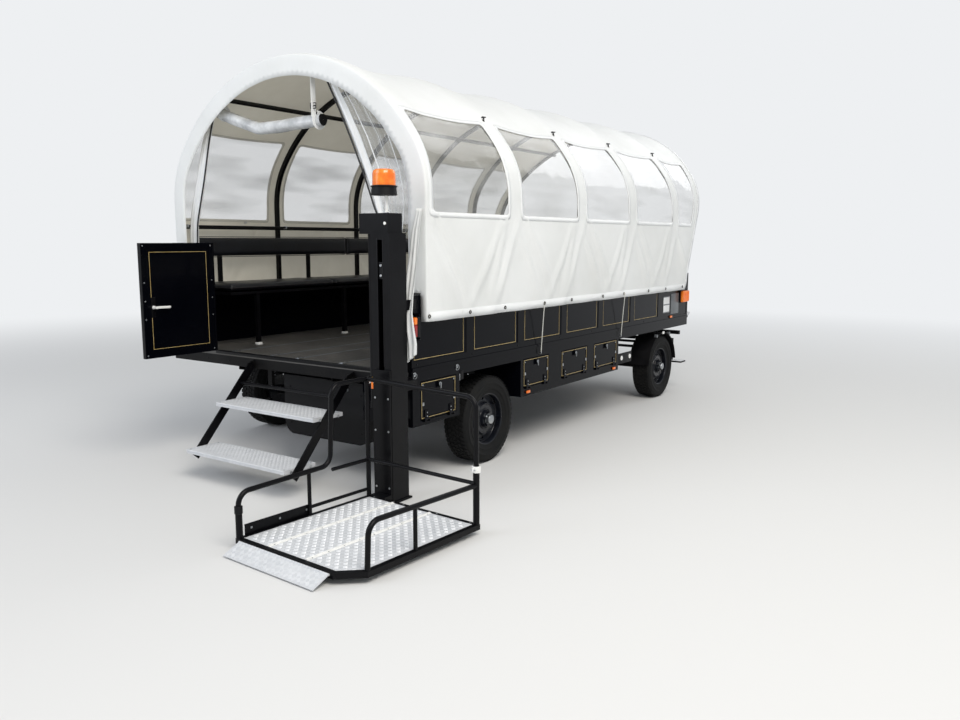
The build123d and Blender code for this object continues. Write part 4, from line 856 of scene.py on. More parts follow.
@dataclass(frozen=True)
class Fold:
    """A tension fold in the cloth's side."""

    start: Pair  # Y and Z of its upper end
    end: Pair  # Y and Z of its lower end
    height: float  # how far it stands out
    width: float  # half of its width

    def rise(self, y: float, z: float) -> float:
        """Height of the fold at a place on the side."""
        start, spot = Vector(self.start), Vector((y, z))
        way = Vector(self.end) - start
        t = (spot - start).dot(way) / way.length_squared
        if not -0.15 < t < 1.1:
            return 0.0
        off = (spot - start - way * t).length
        fade = sin(pi * limited((t + 0.15) / 1.25)) ** 0.7
        return self.height * fade * hump(off, 0.0, self.width * (0.6 + 0.8 * max(t, 0)))


@dataclass
class Cover:
    """The tarpaulin cover with its windows, welds, hem, eyelets and tie-down cords."""

    line: ArchLine = field(default_factory=ArchLine)  # the cross line
    rear_y: float = -0.008  # where the rear band lies
    turn: float = 0.012  # half of the cloth's length in the bend round to the rear band
    band: float = 0.14  # depth of the rear band, turned in round the first hoop
    band_low: float = 0.047  # its depth beside the side boards
    board_top: float = 1.262  # height where the band narrows
    front_low: float = 4.3  # Y of the front edge at the hem
    front_top: float = 5.0  # Y of the front edge at the crown
    hoop_first: float = 0.0113  # Y of the first hoop
    hoop_pitch: float = 1.0  # distance between hoops
    # rear and front Y of the upright-edged windows
    spans: tuple[Pair, ...] = ((0.062, 0.915), (1.111, 1.93), (2.106, 2.895), (3.085, 3.9))
    last_window: float = 4.075  # rear Y of the leaning window
    last_margin: float = 0.15  # its distance behind the front edge
    window_low: float = 1.763  # height of the windows' lower edge
    window_high: float = 2.39  # height of their upper edge
    corner: float = 0.028  # radius of their corners
    cell: float = 0.03  # mesh size
    thick: float = 0.0016  # thickness of the cloth
    rest: float = 0.0015  # how far the cloth's middle stands off the cross line
    # Y at the hem, Y at the hook and Z at the hook of each cord
    tie_downs: tuple[Point, ...] = ((1.40, 1.437, 0.735), (2.82, 2.86, 0.735))
    # Y of the hems' eyelets
    eyelets: tuple[float, ...] = (0.02, 0.43, 0.875, 1.4, 1.85, 2.37, 2.82, 3.33, 3.77, 4.22)

    def __post_init__(self) -> None:
        """Lay out the folds, the same on every run.

        A fold is a row of upper Y and Z, lower Y and Z, height and half width, with both Y
        measured from a hoop, from a window's rear or front edge, or from an eyelet.
        """
        hoop = ((0.05, 1.74, -0.30, 1.12, 0.027, 0.036), (0.02, 1.66, 0.33, 1.12, 0.029, 0.033))
        rear = ((0.04, 1.75, 0.42, 1.14, 0.022, 0.031),)
        front = ((-0.05, 1.75, -0.5, 1.13, 0.018, 0.03), (-0.02, 1.74, -0.24, 1.2, 0.019, 0.024))
        chance = random.Random(SEED)
        rows = [(self.hoop_first + self.hoop_pitch * i, hoop) for i in range(5)]
        rows += [row for span in self.spans for row in zip(span, (rear, front))]
        rows += [(y, ((chance.uniform(-0.14, 0.14), 1.36, 0.0, 1.1, 0.008, 0.022),)) for y in self.eyelets]
        rows.append((0.0, ((0.02, 1.72, 0.14, 1.12, 0.02, 0.034),)))
        self.folds = [Fold((y + a, high), (y + b, low), height, width)
                      for y, kinds in rows for a, high, b, low, height, width in kinds]

    def front_edge(self, z: float) -> float:
        """Y of the front edge at a height."""
        share = (z - self.line.bottom) / (self.line.top - self.line.bottom)
        return self.front_low + share * (self.front_top - self.front_low)

    def swell(self, s: float, y: float) -> float:
        """How far the cloth stands off its plain form, outwards.

        Args:
            s: Distance from the right hem.
            y: Place along the wagon.

        Returns:
            Distance in metres, with inwards negative.
        """
        x, z, _, _ = self.line.at(s)
        if y < 0.03:
            return self.rest
        phase = (y - self.hoop_first) / self.hoop_pitch
        last_hoop = self.hoop_first + 4 * self.hoop_pitch
        if phase >= 4:
            phase = min((y - last_hoop) / max(self.front_edge(z) - 0.03 - last_hoop, 0.05), 1.0)
        between = sin(pi * phase) ** 2
        high = limited((z - 2.1) / 0.4)
        lift = (0.019 * hump(z, 1.42, 0.24) - 0.019 * high - 0.007 * hump(z, 2.05, 0.3)) * between
        wander = smooth_noise(x * 0.9, y * 1.7, z * 1.9) * 0.007
        wander += smooth_noise(x * 3.1, y * 5.3, z * 6.1 + 4) * 0.0026
        lift += wander * (0.25 + 0.75 * between)
        if z < 1.85:
            side_y = y if x > 0 else y + 0.21
            lift += sum(fold.rise(side_y, z) for fold in self.folds) * (0.5 + 0.5 * min(between * 4, 1.0))
        lift += 0.011 * high * (1.0 - min(between * 1.6, 1.0)) ** 2
        lift += 0.006 * sin(y * 13.1 + (0.0 if x > 0 else 1.3)) * hump(z, self.line.bottom, 0.05)
        return max(lift, -0.001 if between < 0.06 else -0.024) + self.rest

    def spot(self, s: float, v: float, lift: float = 0.0) -> Vector:
        """A point of the cloth.

        Args:
            s: Distance from the right hem.
            v: Y, or below zero how far into the rear band the point is.
            lift: Extra distance outwards.

        Returns:
            The point.
        """
        x, z, nx, nz = self.line.at(s)
        if v >= self.turn:
            out, y = self.swell(s, v) + lift, v + (self.rear_y if v < 0.05 else 0)
        elif v > -self.turn:
            a = (self.turn - v) / (2 * self.turn) * pi / 2
            out = -self.turn * (1 - cos(a)) + self.rest + lift * cos(a)
            y = self.rear_y + self.turn * (1 - sin(a)) - lift * sin(a)
        else:
            wave = 0.0035 * sin(s * 9.0) * min(-v / self.band, 1.0)
            out, y = v, self.rear_y - 0.0005 - abs(wave) - lift
        return Vector((x + nx * out, y, z + nz * out))

    def outline(self, rear: float, front: float | None, grow: float, left: bool) -> list[Pair]:
        """Corner points of a window in the cloth's own plane, closely spaced.

        Args:
            rear: Y of the rear edge.
            front: Y of the front edge, or None for the leaning one.
            grow: How far outside the window the outline runs.
            left: Whether it is on the left side.

        Returns:
            Distance from the right hem and Y of each point.
        """
        low, high = self.line.s_at(self.window_low) - grow, self.line.s_at(self.window_high) + grow
        ends = [(self.front_edge(self.line.at(s)[1]) - self.last_margin if front is None else front) + grow
                for s in (low, high)]
        corners = [(low, rear - grow), (low, ends[0]), (high, ends[1]), (high, rear - grow)]
        ring = dense(curved(corners, self.corner + grow * 0.5), self.cell)
        return [(self.line.length - s, y) for s, y in ring] if left else ring

    def windows(self, grow: float) -> list[list[Pair]]:
        """Outlines of all ten windows at some distance outside them."""
        spans = [*self.spans, (self.last_window, None)]
        return [self.outline(rear, front, grow, left) for left in (False, True) for rear, front in spans]

    def sheet(self, outer: list[Pair], holes: list[list[Pair]], lift: float, cell: float) -> BMesh:
        """Mesh a part of the cloth between an outline and its holes.

        Args:
            outer: Outline in the cloth's plane.
            holes: Outlines of its holes.
            lift: Distance off the cloth.
            cell: Mesh size inside.

        Returns:
            The mesh.
        """
        rims = [*outer, *(spot for hole in holes for spot in hole)]
        edges, base = [], 0
        for ring in (outer, *holes):
            edges.extend((base + i, base + (i + 1) % len(ring)) for i in range(len(ring)))
            base += len(ring)
        low, high = np.min(outer, axis=0), np.max(outer, axis=0)
        wide, deep = high - low
        rows, count = int(wide / (cell * 0.87)), int(deep / cell)
        cells = np.array([(low[0] + wide * i / rows, low[1] + deep * (j + 0.5 * (i % 2)) / count)
                          for i in range(1, rows) for j in range(1, count)]).reshape(-1, 2)
        if low[1] < -self.turn < self.turn < high[1] and len(cells):
            cells = cells[np.abs(cells[:, 1]) > 0.02]
            row = np.arange(low[0] + 0.01, high[0] - 0.01, 0.02)
            cells = np.vstack([cells, *(np.column_stack([row, np.full(len(row), self.turn * share)])
                                        for share in (-1, -0.5, 0, 0.5, 1))])

        def square(spot: Sequence[float]) -> tuple[int, int]:
            """The mesh square that a point lies in."""
            return round(spot[0] / (cell * 0.7)), round(spot[1] / (cell * 0.7))

        near = {square(spot) for spot in rims}
        keep = inside(cells, outer, holes) if len(cells) else []
        free = [tuple(c) for c, kept in zip(cells, keep) if kept and square(c) not in near]
        verts, _, faces, *_ = delaunay_2d_cdt([Vector(p) for p in (*rims, *free)], edges, [], 0, 1e-5)
        middles = np.array([[sum(verts[i][k] for i in face) / len(face) for k in (0, 1)] for face in faces])
        mesh = bmesh.new()
        made = [mesh.verts.new(self.spot(p.x, p.y, lift)) for p in verts]
        for face, kept in zip(faces, inside(middles, outer, holes)):
            if kept:
                mesh.faces.new([made[i] for i in face]).smooth = True
        bmesh.ops.delete(mesh, geom=[v for v in mesh.verts if not v.link_faces], context="VERTS")
        return mesh

    def border(self) -> list[Pair]:
        """Outline of the whole cloth, with the rear band's notches beside the boards."""
        total, notch = self.line.length, self.line.s_at(self.board_top)
        half = [(0, -self.band_low), (notch, -self.band_low), (notch, -self.band)]
        return dense([*half, *((total - s, v) for s, v in reversed(half)), *self._front_row(self.cell)],
                     self.cell)

    def _front_row(self, step: float) -> list[Pair]:
        """Points of the front edge from the left hem to the right one, about a step apart."""
        count = int(self.line.length / step)
        row = [self.line.length * (1 - k / count) for k in range(count + 1)]
        return [(s, self.front_edge(self.line.at(s)[1])) for s in row]

    def build(self) -> None:
        """Make the cloth, the films, the welds, the hem and its fittings."""
        cloth = self._piece("canopy_cloth", [self.sheet(self.border(), self.windows(0), 0.0, self.cell)],
                            (TARPAULIN, TARPAULIN_INSIDE), "canvas", self.thick, "canopy")
        welds = self._piece("window_welds", [self.sheet(outer, [inner], 0.0014, 0.05) for inner, outer
                                             in zip(self.windows(0.002), self.windows(0.034))],
                            (TARPAULIN_WELD,), "canvas", 0.001)
        hem = self._hem()
        self._films()
        eyes = self._eyelets()
        self._tie_downs()
        self._shoulder_ties()
        self.flat_area()

    def flat_area(self) -> float:
        """The cut's flat area without its windows."""
        def area(ring: list[Pair]) -> float:
            """Area within an outline."""
            return abs(sum(a[0] * b[1] - b[0] * a[1] for a, b in zip(ring, ring[1:] + ring[:1]))) / 2
        return round(area(self.border()) - sum(area(w) for w in self.windows(0)), 3)

    @staticmethod
    def _piece(name: str, parts: Iterable[BMesh], finishes: Sequence[Finish], slot: str,
               thick: float, replaced: str = "") -> Object:
        """Turn parts of the cloth outwards and make them one piece.

        Args:
            name: The piece's name.
            parts: The meshes of its parts.
            finishes: The outer side's finish, and the inner side's if it has its own.
            slot: The record's material slot; not used.
            thick: Its thickness.
            replaced: CAD node that it stands for, if any.

        Returns:
            The piece.
        """
        shape = Shape(*finishes)
        for part in parts:
            merge(shape.mesh, part)
        inward = 0
        for face in shape.mesh.faces:
            middle = face.calc_center_median()
            inward += abs(face.normal.y) < 0.5 and face.normal.dot(Vector((middle.x, 0, middle.z - 1.5))) < 0
        if inward > len(shape.mesh.faces) / 2:
            bmesh.ops.reverse_faces(shape.mesh, faces=shape.mesh.faces)
        return walled(shape.data(name), thick, -1.0, replaced)

    def _hem(self) -> Object:
        """The doubled hem along both sides and the front edge."""
        total, wide = self.line.length, 0.06
        side = dense([(0.0, 0.03), (0.0, self.front_low - 0.01), (wide, self.front_low + 0.01),
                      (wide, 0.03)], 0.03)
        edge = [(s, v - 0.004) for s, v in reversed(self._front_row(0.03))]
        edge += [(s, v - 0.051) for s, v in reversed(edge)]
        rings = ((side, 0.0016), ([(total - s, v) for s, v in side], 0.0016), (edge, 0.0026))
        return self._piece("cover_hem", [self.sheet(ring, [], lift, 0.04) for ring, lift in rings],
                           (TARPAULIN_WELD,), "canvas", 0.0012)

    def _films(self) -> None:
        """One clear sheet behind each window."""
        parts = [self.sheet(ring, [], -self.thick - 0.0022, 0.035) for ring in self.windows(0.022)]
        area = sum(f.calc_area() for part in parts for f in part.faces)
        made = self._piece("window_films", parts, (WINDOW_FILM,), "film", 0.0006, "window_film")

    def _eyelets(self) -> Object:
        """Brass-edged eyelets along both hems."""
        inset = 0.033
        spots = [Spot(tuple(self.spot(inset if out > 0 else self.line.length - inset, y, 0.0032)),
                      (out, 0, 0))
                 for out in (1, -1) for y in self.eyelets]
        form = Shape()
        form.lathe([(0.0065, 0), (0.0065, 0.0022), (0.0085, 0.003), (0.0125, 0.0022), (0.0135, 0)], sides=20)
        return scatter("hem_eyelets", "wagon", EYELET_BLACK, form, spots)

    def _shoulder_ties(self) -> None:
        """Black laced eyelet pairs that tie the cloth to each hoop above the windows."""
        shape = Shape(BLACK_PIPING, EYELET_BLACK)
        above = self.line.s_at(2.44)
        for i in range(1, 5):
            y = self.hoop_first + self.hoop_pitch * i
            for s in (above, self.line.length - above):
                ends = [self.spot(s + ds, y + dy, 0.004) for ds, dy in ((-0.02, -0.022), (0.022, 0.02))]
                knot = ends[0].lerp(ends[1], 0.5) + Vector((0, 0, 0.009))
                side = (ends[1] - ends[0]).cross(knot - ends[0]).normalized() * 0.017
                shape.use(BLACK_PIPING).tube([ends[0], knot, ends[1]], 0.0048, 0.02)
                shape.tube([knot - side, knot + Vector((0, 0, 0.003)), knot + side], 0.0042, 0.01)
                out = (self.spot(s, y, 0.05) - self.spot(s, y, 0.0)).normalized()
                for end in ends:
                    shape.use(EYELET_BLACK).lathe([(0.004, 0), (0.006, 0.002), (0.011, 0.0018), (0.012, 0)],
                                                  end - out * 0.003, out, 16)
        shape.piece("shoulder_ties", "wagon", "canvas")

    def _tie_downs(self) -> None:
        """Taut cords from the hem down to their hooks, and their knots."""
        shape = Shape(WHITE_CORD, ZINC)
        hem_x, foot_x = 1.262, 1.219
        for out in (1, -1):
            for top_y, foot_y, foot_z in self.tie_downs:
                middle = ((hem_x + foot_x) / 2 + 0.001, (top_y + foot_y) / 2 + 0.003, 0.94)
                cord = (hem_x, top_y, 1.128), (hem_x + 0.004, top_y, 1.10), middle, (foot_x, foot_y, foot_z)
                knot = ((hem_x + 0.002, top_y - 0.008, 1.12), (hem_x + 0.006, top_y, 1.112),
                        (hem_x + 0.002, top_y + 0.008, 1.122))
                hook = ((1.2, foot_y, foot_z - 0.012), (1.222, foot_y, foot_z - 0.012),
                        (1.222, foot_y, foot_z + 0.008))
                for finish, run, radius, bend in ((WHITE_CORD, cord, 0.0035, 0.04),
                                                  (WHITE_CORD, knot, 0.004, 0.005),
                                                  (ZINC, hook, 0.003, 0.008)):
                    shape.use(finish).tube([(out * x, y, z) for x, y, z in run], radius, bend)
        shape.piece("tie_down_cords", "wagon", "canvas")


# --------------------------------------------------------------------------- curtains


@dataclass
class Curtains:
    """Rear curtain rolled up under the first hoop, its straps, and the gathered side drops."""

    # X and Z along the rolled curtain
    roll: tuple[Pair, ...] = ((-0.75, 2.52), (-0.33, 2.375), (0.31, 2.39))
    roll_y: float = 0.0749  # its Y
    radius: float = 0.045  # its radius
    strap_y: float = 0.0266  # rear face of the straps
    straps: tuple[Pair, ...] = ((-0.716, 2.63), (0.27, 2.775))  # X and highest Z of each strap
    # X and Z down the right drop's inner edge
    right: tuple[Pair, ...] = ((0.35, 2.69), (0.4, 2.603), (0.492, 2.435), (0.593, 2.237), (0.685, 2.04),
                               (0.751, 1.879), (0.79, 1.78), (0.84, 1.69), (0.9, 1.6))
    # X and Z down its outer edge
    hoop: tuple[Pair, ...] = ((0.62, 2.655), (0.72, 2.58), (0.88, 2.43), (1.02, 2.24), (1.1, 2.05),
                              (1.13, 1.9), (1.12, 1.79), (1.08, 1.69), (1.04, 1.6))
    # X and Z down the left drop's inner edge
    left: tuple[Pair, ...] = ((-0.775, 2.55), (-0.856, 2.334), (-0.936, 2.043), (-1.0, 1.85),
                              (-1.047, 1.706), (-1.05, 1.56), (-1.08, 1.4), (-1.1, 1.2))
    # X and Z down its outer edge
    post: tuple[Pair, ...] = ((-0.86, 2.53), (-0.96, 2.32), (-1.05, 2.04), (-1.12, 1.85), (-1.155, 1.706),
                              (-1.165, 1.56), (-1.165, 1.4), (-1.16, 1.2))
    # place and half width down the strip beside the mast
    strip: tuple[tuple[float, float, float, float], ...] = (
        (1.215, -0.03, 1.78, 0.02), (1.2, -0.05, 1.65, 0.034), (1.205, -0.08, 1.5, 0.04),
        (1.215, -0.12, 1.35, 0.046), (1.225, -0.15, 1.24, 0.04), (1.23, -0.172, 1.13, 0.042),
        (1.24, -0.176, 1.02, 0.048), (1.252, -0.174, 0.94, 0.046), (1.256, -0.172, 0.87, 0.036))
    thick: float = 0.0012  # thickness of the drops and the strip

    def build(self) -> None:
        """Make the roll, its straps, the drops, the strip and the drops' piping."""
        self._roll()
        self._straps()
        self._drop("rear_drop_right", self.right, self.hoop, 0.058, 6, 0.16)
        self._drop("rear_drop_left", self.left, self.post, 0.055, 3, 1.0)
        self._strip()
        piping = Shape(BLACK_PIPING)
        for edge, y in ((self.right, 0.046), (self.left, 0.044)):
            piping.tube([(x, y, z) for x, z in edge], 0.006, 0.08)
        piping.piece("curtain_piping", "wagon", "webbing")

    def _roll(self) -> None:
        """The rolled cloth with its spiral ends and soft creases."""
        run = rounded([(x, self.roll_y, z) for x, z in self.roll], 0.03, 6)
        points = [run[0].lerp(run[1], k / 6) for k in range(6)] + run[1:-2]
        points += [run[-2].lerp(run[-1], k / 8) for k in range(9)]
        rows, sides = [], 30
        for i, spot in enumerate(points):
            way = (points[min(i + 1, len(points) - 1)] - points[max(i - 1, 0)]).normalized()
            across = way.cross(Vector((0, 1, 0))).normalized()
            rise = across.cross(way)
            squeeze = min(abs(spot.x - x) for x, _ in self.straps)
            row = []
            for angle in (tau * k / sides for k in range(sides)):
                u, v = cos(angle), sin(angle)
                radius = self.radius * (0.94 - 0.16 * hump(squeeze, 0.0, 0.035))
                radius += 0.0035 * smooth_noise(spot.x * 6, u * 1.6, v * 1.6)
                radius += 0.0022 * sin(3 * angle + spot.x * 14)
                row.append(spot + across * radius * u + rise * radius * v)
            rows.append(row)
        shape = Shape(ROLLED_FILM, BLACK_PLASTIC)
        shape.grid(rows, closed=True)
        for row, way in ((rows[0], -1), (rows[-1], 1)):
            middle, rings = sum(row, Vector()) / len(row), [row]
            for share, bulge in ((0.86, 0.003), (0.7, 0.0005), (0.5, 0.003), (0.3, 0.0008), (0.05, 0.002)):
                rings.append([middle + (p - middle) * share + Vector((way * bulge, 0, 0)) for p in row])
            shape.use(BLACK_PLASTIC).grid(rings[::way], closed=True)
        made = shape.piece("rolled_curtain", "wagon", "rolled_canvas", "curtain_roll", 60)

    def _straps(self) -> None:
        """Webbing straps from the hoop round the roll, with their buckles."""
        shape = Shape(TARPAULIN_WELD, BLACK_PLASTIC)
        reach, front = self.radius * 0.93, self.strap_y + 0.0015
        for x, high in self.straps:
            z = min(self.roll, key=lambda p: abs(p[0] - x))[1]
            loop = [(x, front, high + (z + 0.02 - high) * k / 4) for k in range(5)]
            for angle in (pi - pi * 1.7 * k / 12 for k in range(13)):
                loop.append((x, self.roll_y + reach * cos(angle + 0.35),
                             z - reach * sin(pi - angle - 0.35)))
            shape.use(TARPAULIN_WELD).sweep(loop, [(-0.021, -0.0012), (0.021, -0.0012), (0.021, 0.0012),
                                                   (-0.021, 0.0012)])
            shape.use(BLACK_PLASTIC)
            y = self.strap_y - 0.001
            for low in (z + 0.07, high - 0.05):
                ring = ((-0.025, 0.036), (0.025, 0.036), (0.025, 0), (-0.025, 0), (-0.025, 0.034))
                shape.tube([(x + dx, y, low + dz) for dx, dz in ring], 0.0028, 0.006)
                shape.box((x - 0.022, y - 0.003, low + 0.014), (x + 0.022, y + 0.001, low + 0.021), 0.001)
        shape.piece("roll_straps", "wagon", "webbing", "curtain_straps")

    @staticmethod
    def _down(edge: Sequence[Sequence[float]], t: float) -> list[float]:
        """The numbers of an edge's row at some share of the way down."""
        knots = np.linspace(0.0, 1.0, len(edge))
        return [float(np.interp(t, knots, column)) for column in zip(*edge)]

    def _drop(self, name: str, inner: Sequence[Pair], outer: Sequence[Pair], y: float, pleats: int,
              cloth_part: float) -> None:
        """A curtain of film with a cloth edge, gathered between two edges.

        Args:
            name: The piece's name.
            inner: X and Z down the edge beside the opening.
            outer: X and Z down the edge beside the hoop, as many.
            y: Its middle's Y.
            pleats: How many pleats it has.
            cloth_part: Share of its width that is cloth, from the inner edge.
        """
        steps, sides, rows = 40, pleats * 10, []
        for t in (i / steps for i in range(steps + 1)):
            start, end, row = self._down(inner, t), self._down(outer, t), []
            for u in (j / sides for j in range(sides + 1)):
                wave = cos(pleats * tau * u + 1.1 * sin(2.0 * t)) * 0.011 * (0.35 + 0.65 * t)
                wander = 0.006 * smooth_noise(u * 2.3 + inner[0][0], t * 4.0, 1.5)
                slack = 0.012 * sin(pi * u) * sin(3.0 * t + u)
                x, z = along(start, end, u)
                row.append(Vector((x, y + wave + wander, z + slack)))
            rows.append(row)
        shape = Shape(TARPAULIN_WELD, WINDOW_FILM)
        edge = max(1, round(sides * cloth_part))
        shape.grid([row[:edge + 1] for row in rows])
        film = sides - edge
        if film:
            before = len(shape.mesh.faces)
            shape.use(WINDOW_FILM).grid([row[edge:] for row in rows])
            shape.mesh.faces.ensure_lookup_table()
            for number, face in enumerate(shape.mesh.faces[before:]):
                if number % film % 13 == 7 or number % film == film - 1:
                    face.material_index = 0
        area = sum(f.calc_area() for f in shape.mesh.faces)
        made = walled(shape.data(name), self.thick, 0.0)

    def _strip(self) -> None:
        """Loose strip of cloth that hangs down beside the mast, past the board's top."""
        rows, steps, across = [], 48, 16
        for t in (i / steps for i in range(steps + 1)):
            x, y, z, wide = self._down(self.strip, t)
            row = []
            for u in (j / across * 2 - 1 for j in range(across + 1)):
                wave = 0.009 * cos(2.6 * pi * u + 4 * t) + 0.006 * smooth_noise(u * 2, z * 7, 7)
                row.append((x + wide * u, min(y + wave, -0.158 if z < 1.14 else 0.5), z + 0.03 * u * t))
            rows.append(row)
        shape = Shape(TARPAULIN)
        shape.grid(rows)
        area = sum(f.calc_area() for f in shape.mesh.faces)
        made = walled(shape.data("curtain_edge_strip"), self.thick, 0.0)


# --------------------------------------------------------------------------- inside


@dataclass
class Pad:
    """A padded block of one size, filled once by cloth simulation and then set in several places."""

    size: Point  # its size along X, Y and Z
    bend: float  # radius of its edges
    crown: float  # how far its faces may swell
    cell: float = 0.014  # size of its mesh
    frames: int = 20  # frames of the simulation

    def fill(self) -> Mesh:
        """Make the block around the origin, swell it and round it.

        Returns:
            The mesh that all copies are made from.
        """
        shape = Shape(LEATHERETTE)
        room = [self.crown if c == min(self.size) else self.crown * 0.4 for c in self.size]
        half = Vector(self.size) / 2 - Vector(room)
        shape.box(-half, half, min(self.bend, min(half) * 0.8))
        draft = linked("pad_draft", shape.data("pad_draft"))
        skin = draft.modifiers.new("skin", "REMESH")
        skin.mode, skin.voxel_size, skin.use_smooth_shade = "VOXEL", self.cell, True
        draft = plain(draft, "pad_skin")
        self._press(draft)
        round_off = draft.modifiers.new("round", "SUBSURF")
        round_off.levels = round_off.render_levels = 1
        draft = plain(draft, "pad_round")
        data = draft.data
        bpy.data.objects.remove(draft)
        for polygon in data.polygons:
            polygon.use_smooth = True
        data.materials.clear()
        data.materials.append(LEATHERETTE.build())
        return data

    def _press(self, draft: Object) -> None:
        """Blow the block up by cloth pressure and cap how far each point moves.

        Args:
            draft: The remeshed block, which gets the swollen shape.
        """
        rest = np.empty(len(draft.data.vertices) * 3, dtype=np.float32)
        draft.data.vertices.foreach_get("co", rest)
        cloth = draft.modifiers.new("fill", "CLOTH")
        setup = cloth.settings
        setup.quality, setup.use_pressure, setup.uniform_pressure_force = 4, True, 4.0
        setup.tension_stiffness = setup.compression_stiffness = 12.0
        setup.effector_weights.gravity = 0.0
        cloth.collision_settings.use_collision = False
        cloth.point_cache.frame_start, cloth.point_cache.frame_end = 1, self.frames
        scene = bpy.context.scene
        for step in range(1, self.frames + 1):
            scene.frame_set(step)
        swollen = draft.evaluated_get(bpy.context.evaluated_depsgraph_get())
        moved = np.empty_like(rest)
        swollen.data.vertices.foreach_get("co", moved)
        draft.modifiers.remove(cloth)
        scene.frame_set(1)
        start, shift = rest.reshape(-1, 3), (moved - rest).reshape(-1, 3)
        far = np.maximum(np.linalg.norm(shift, axis=1, keepdims=True), 1e-9)
        capped = start + shift * np.minimum(1.0, self.crown / far)
        draft.data.vertices.foreach_set("co", capped.astype(np.float32).ravel())
        draft.data.update()

    def put_at(self, filled: Mesh, name: str, centre: Point, turned: bool, node: str) -> None:
        """Set one copy of the filled block in its place, with its welt.

        Args:
            filled: The mesh from fill().
            name: The piece's name.
            centre: Where its middle goes.
            turned: Whether it is turned half round.
            node: CAD node that it stands for.
        """
        data = filled.copy()
        data.transform(Matrix.Translation(Vector(centre)) @ Matrix.Rotation(pi if turned else 0.0, 4, "Z"))
        data.update()
        data.name = name
        made = settle(linked(name, data), "wagon", node)
        flat = min(range(3), key=lambda k: self.size[k])
        first, second = [k for k in range(3) if k != flat]
        loop = []
        for u, v in ((-1, -1), (1, -1), (1, 1), (-1, 1)):
            spot = Vector(centre)
            spot[first] += u * (self.size[first] / 2 - 0.0025)
            spot[second] += v * (self.size[second] / 2 - 0.0025)
            loop.append(spot)
        path = [p for a, b in zip(loop, loop[1:] + loop[:1]) for p in ((a + b) / 2, b)]
        seam = Shape(BLACK_PIPING)
        seam.tube(rounded([*path, path[0]], 0.018)[:-1], 0.0027, closed=True)
        seam.piece(name + "_welt", "wagon", "upholstery")


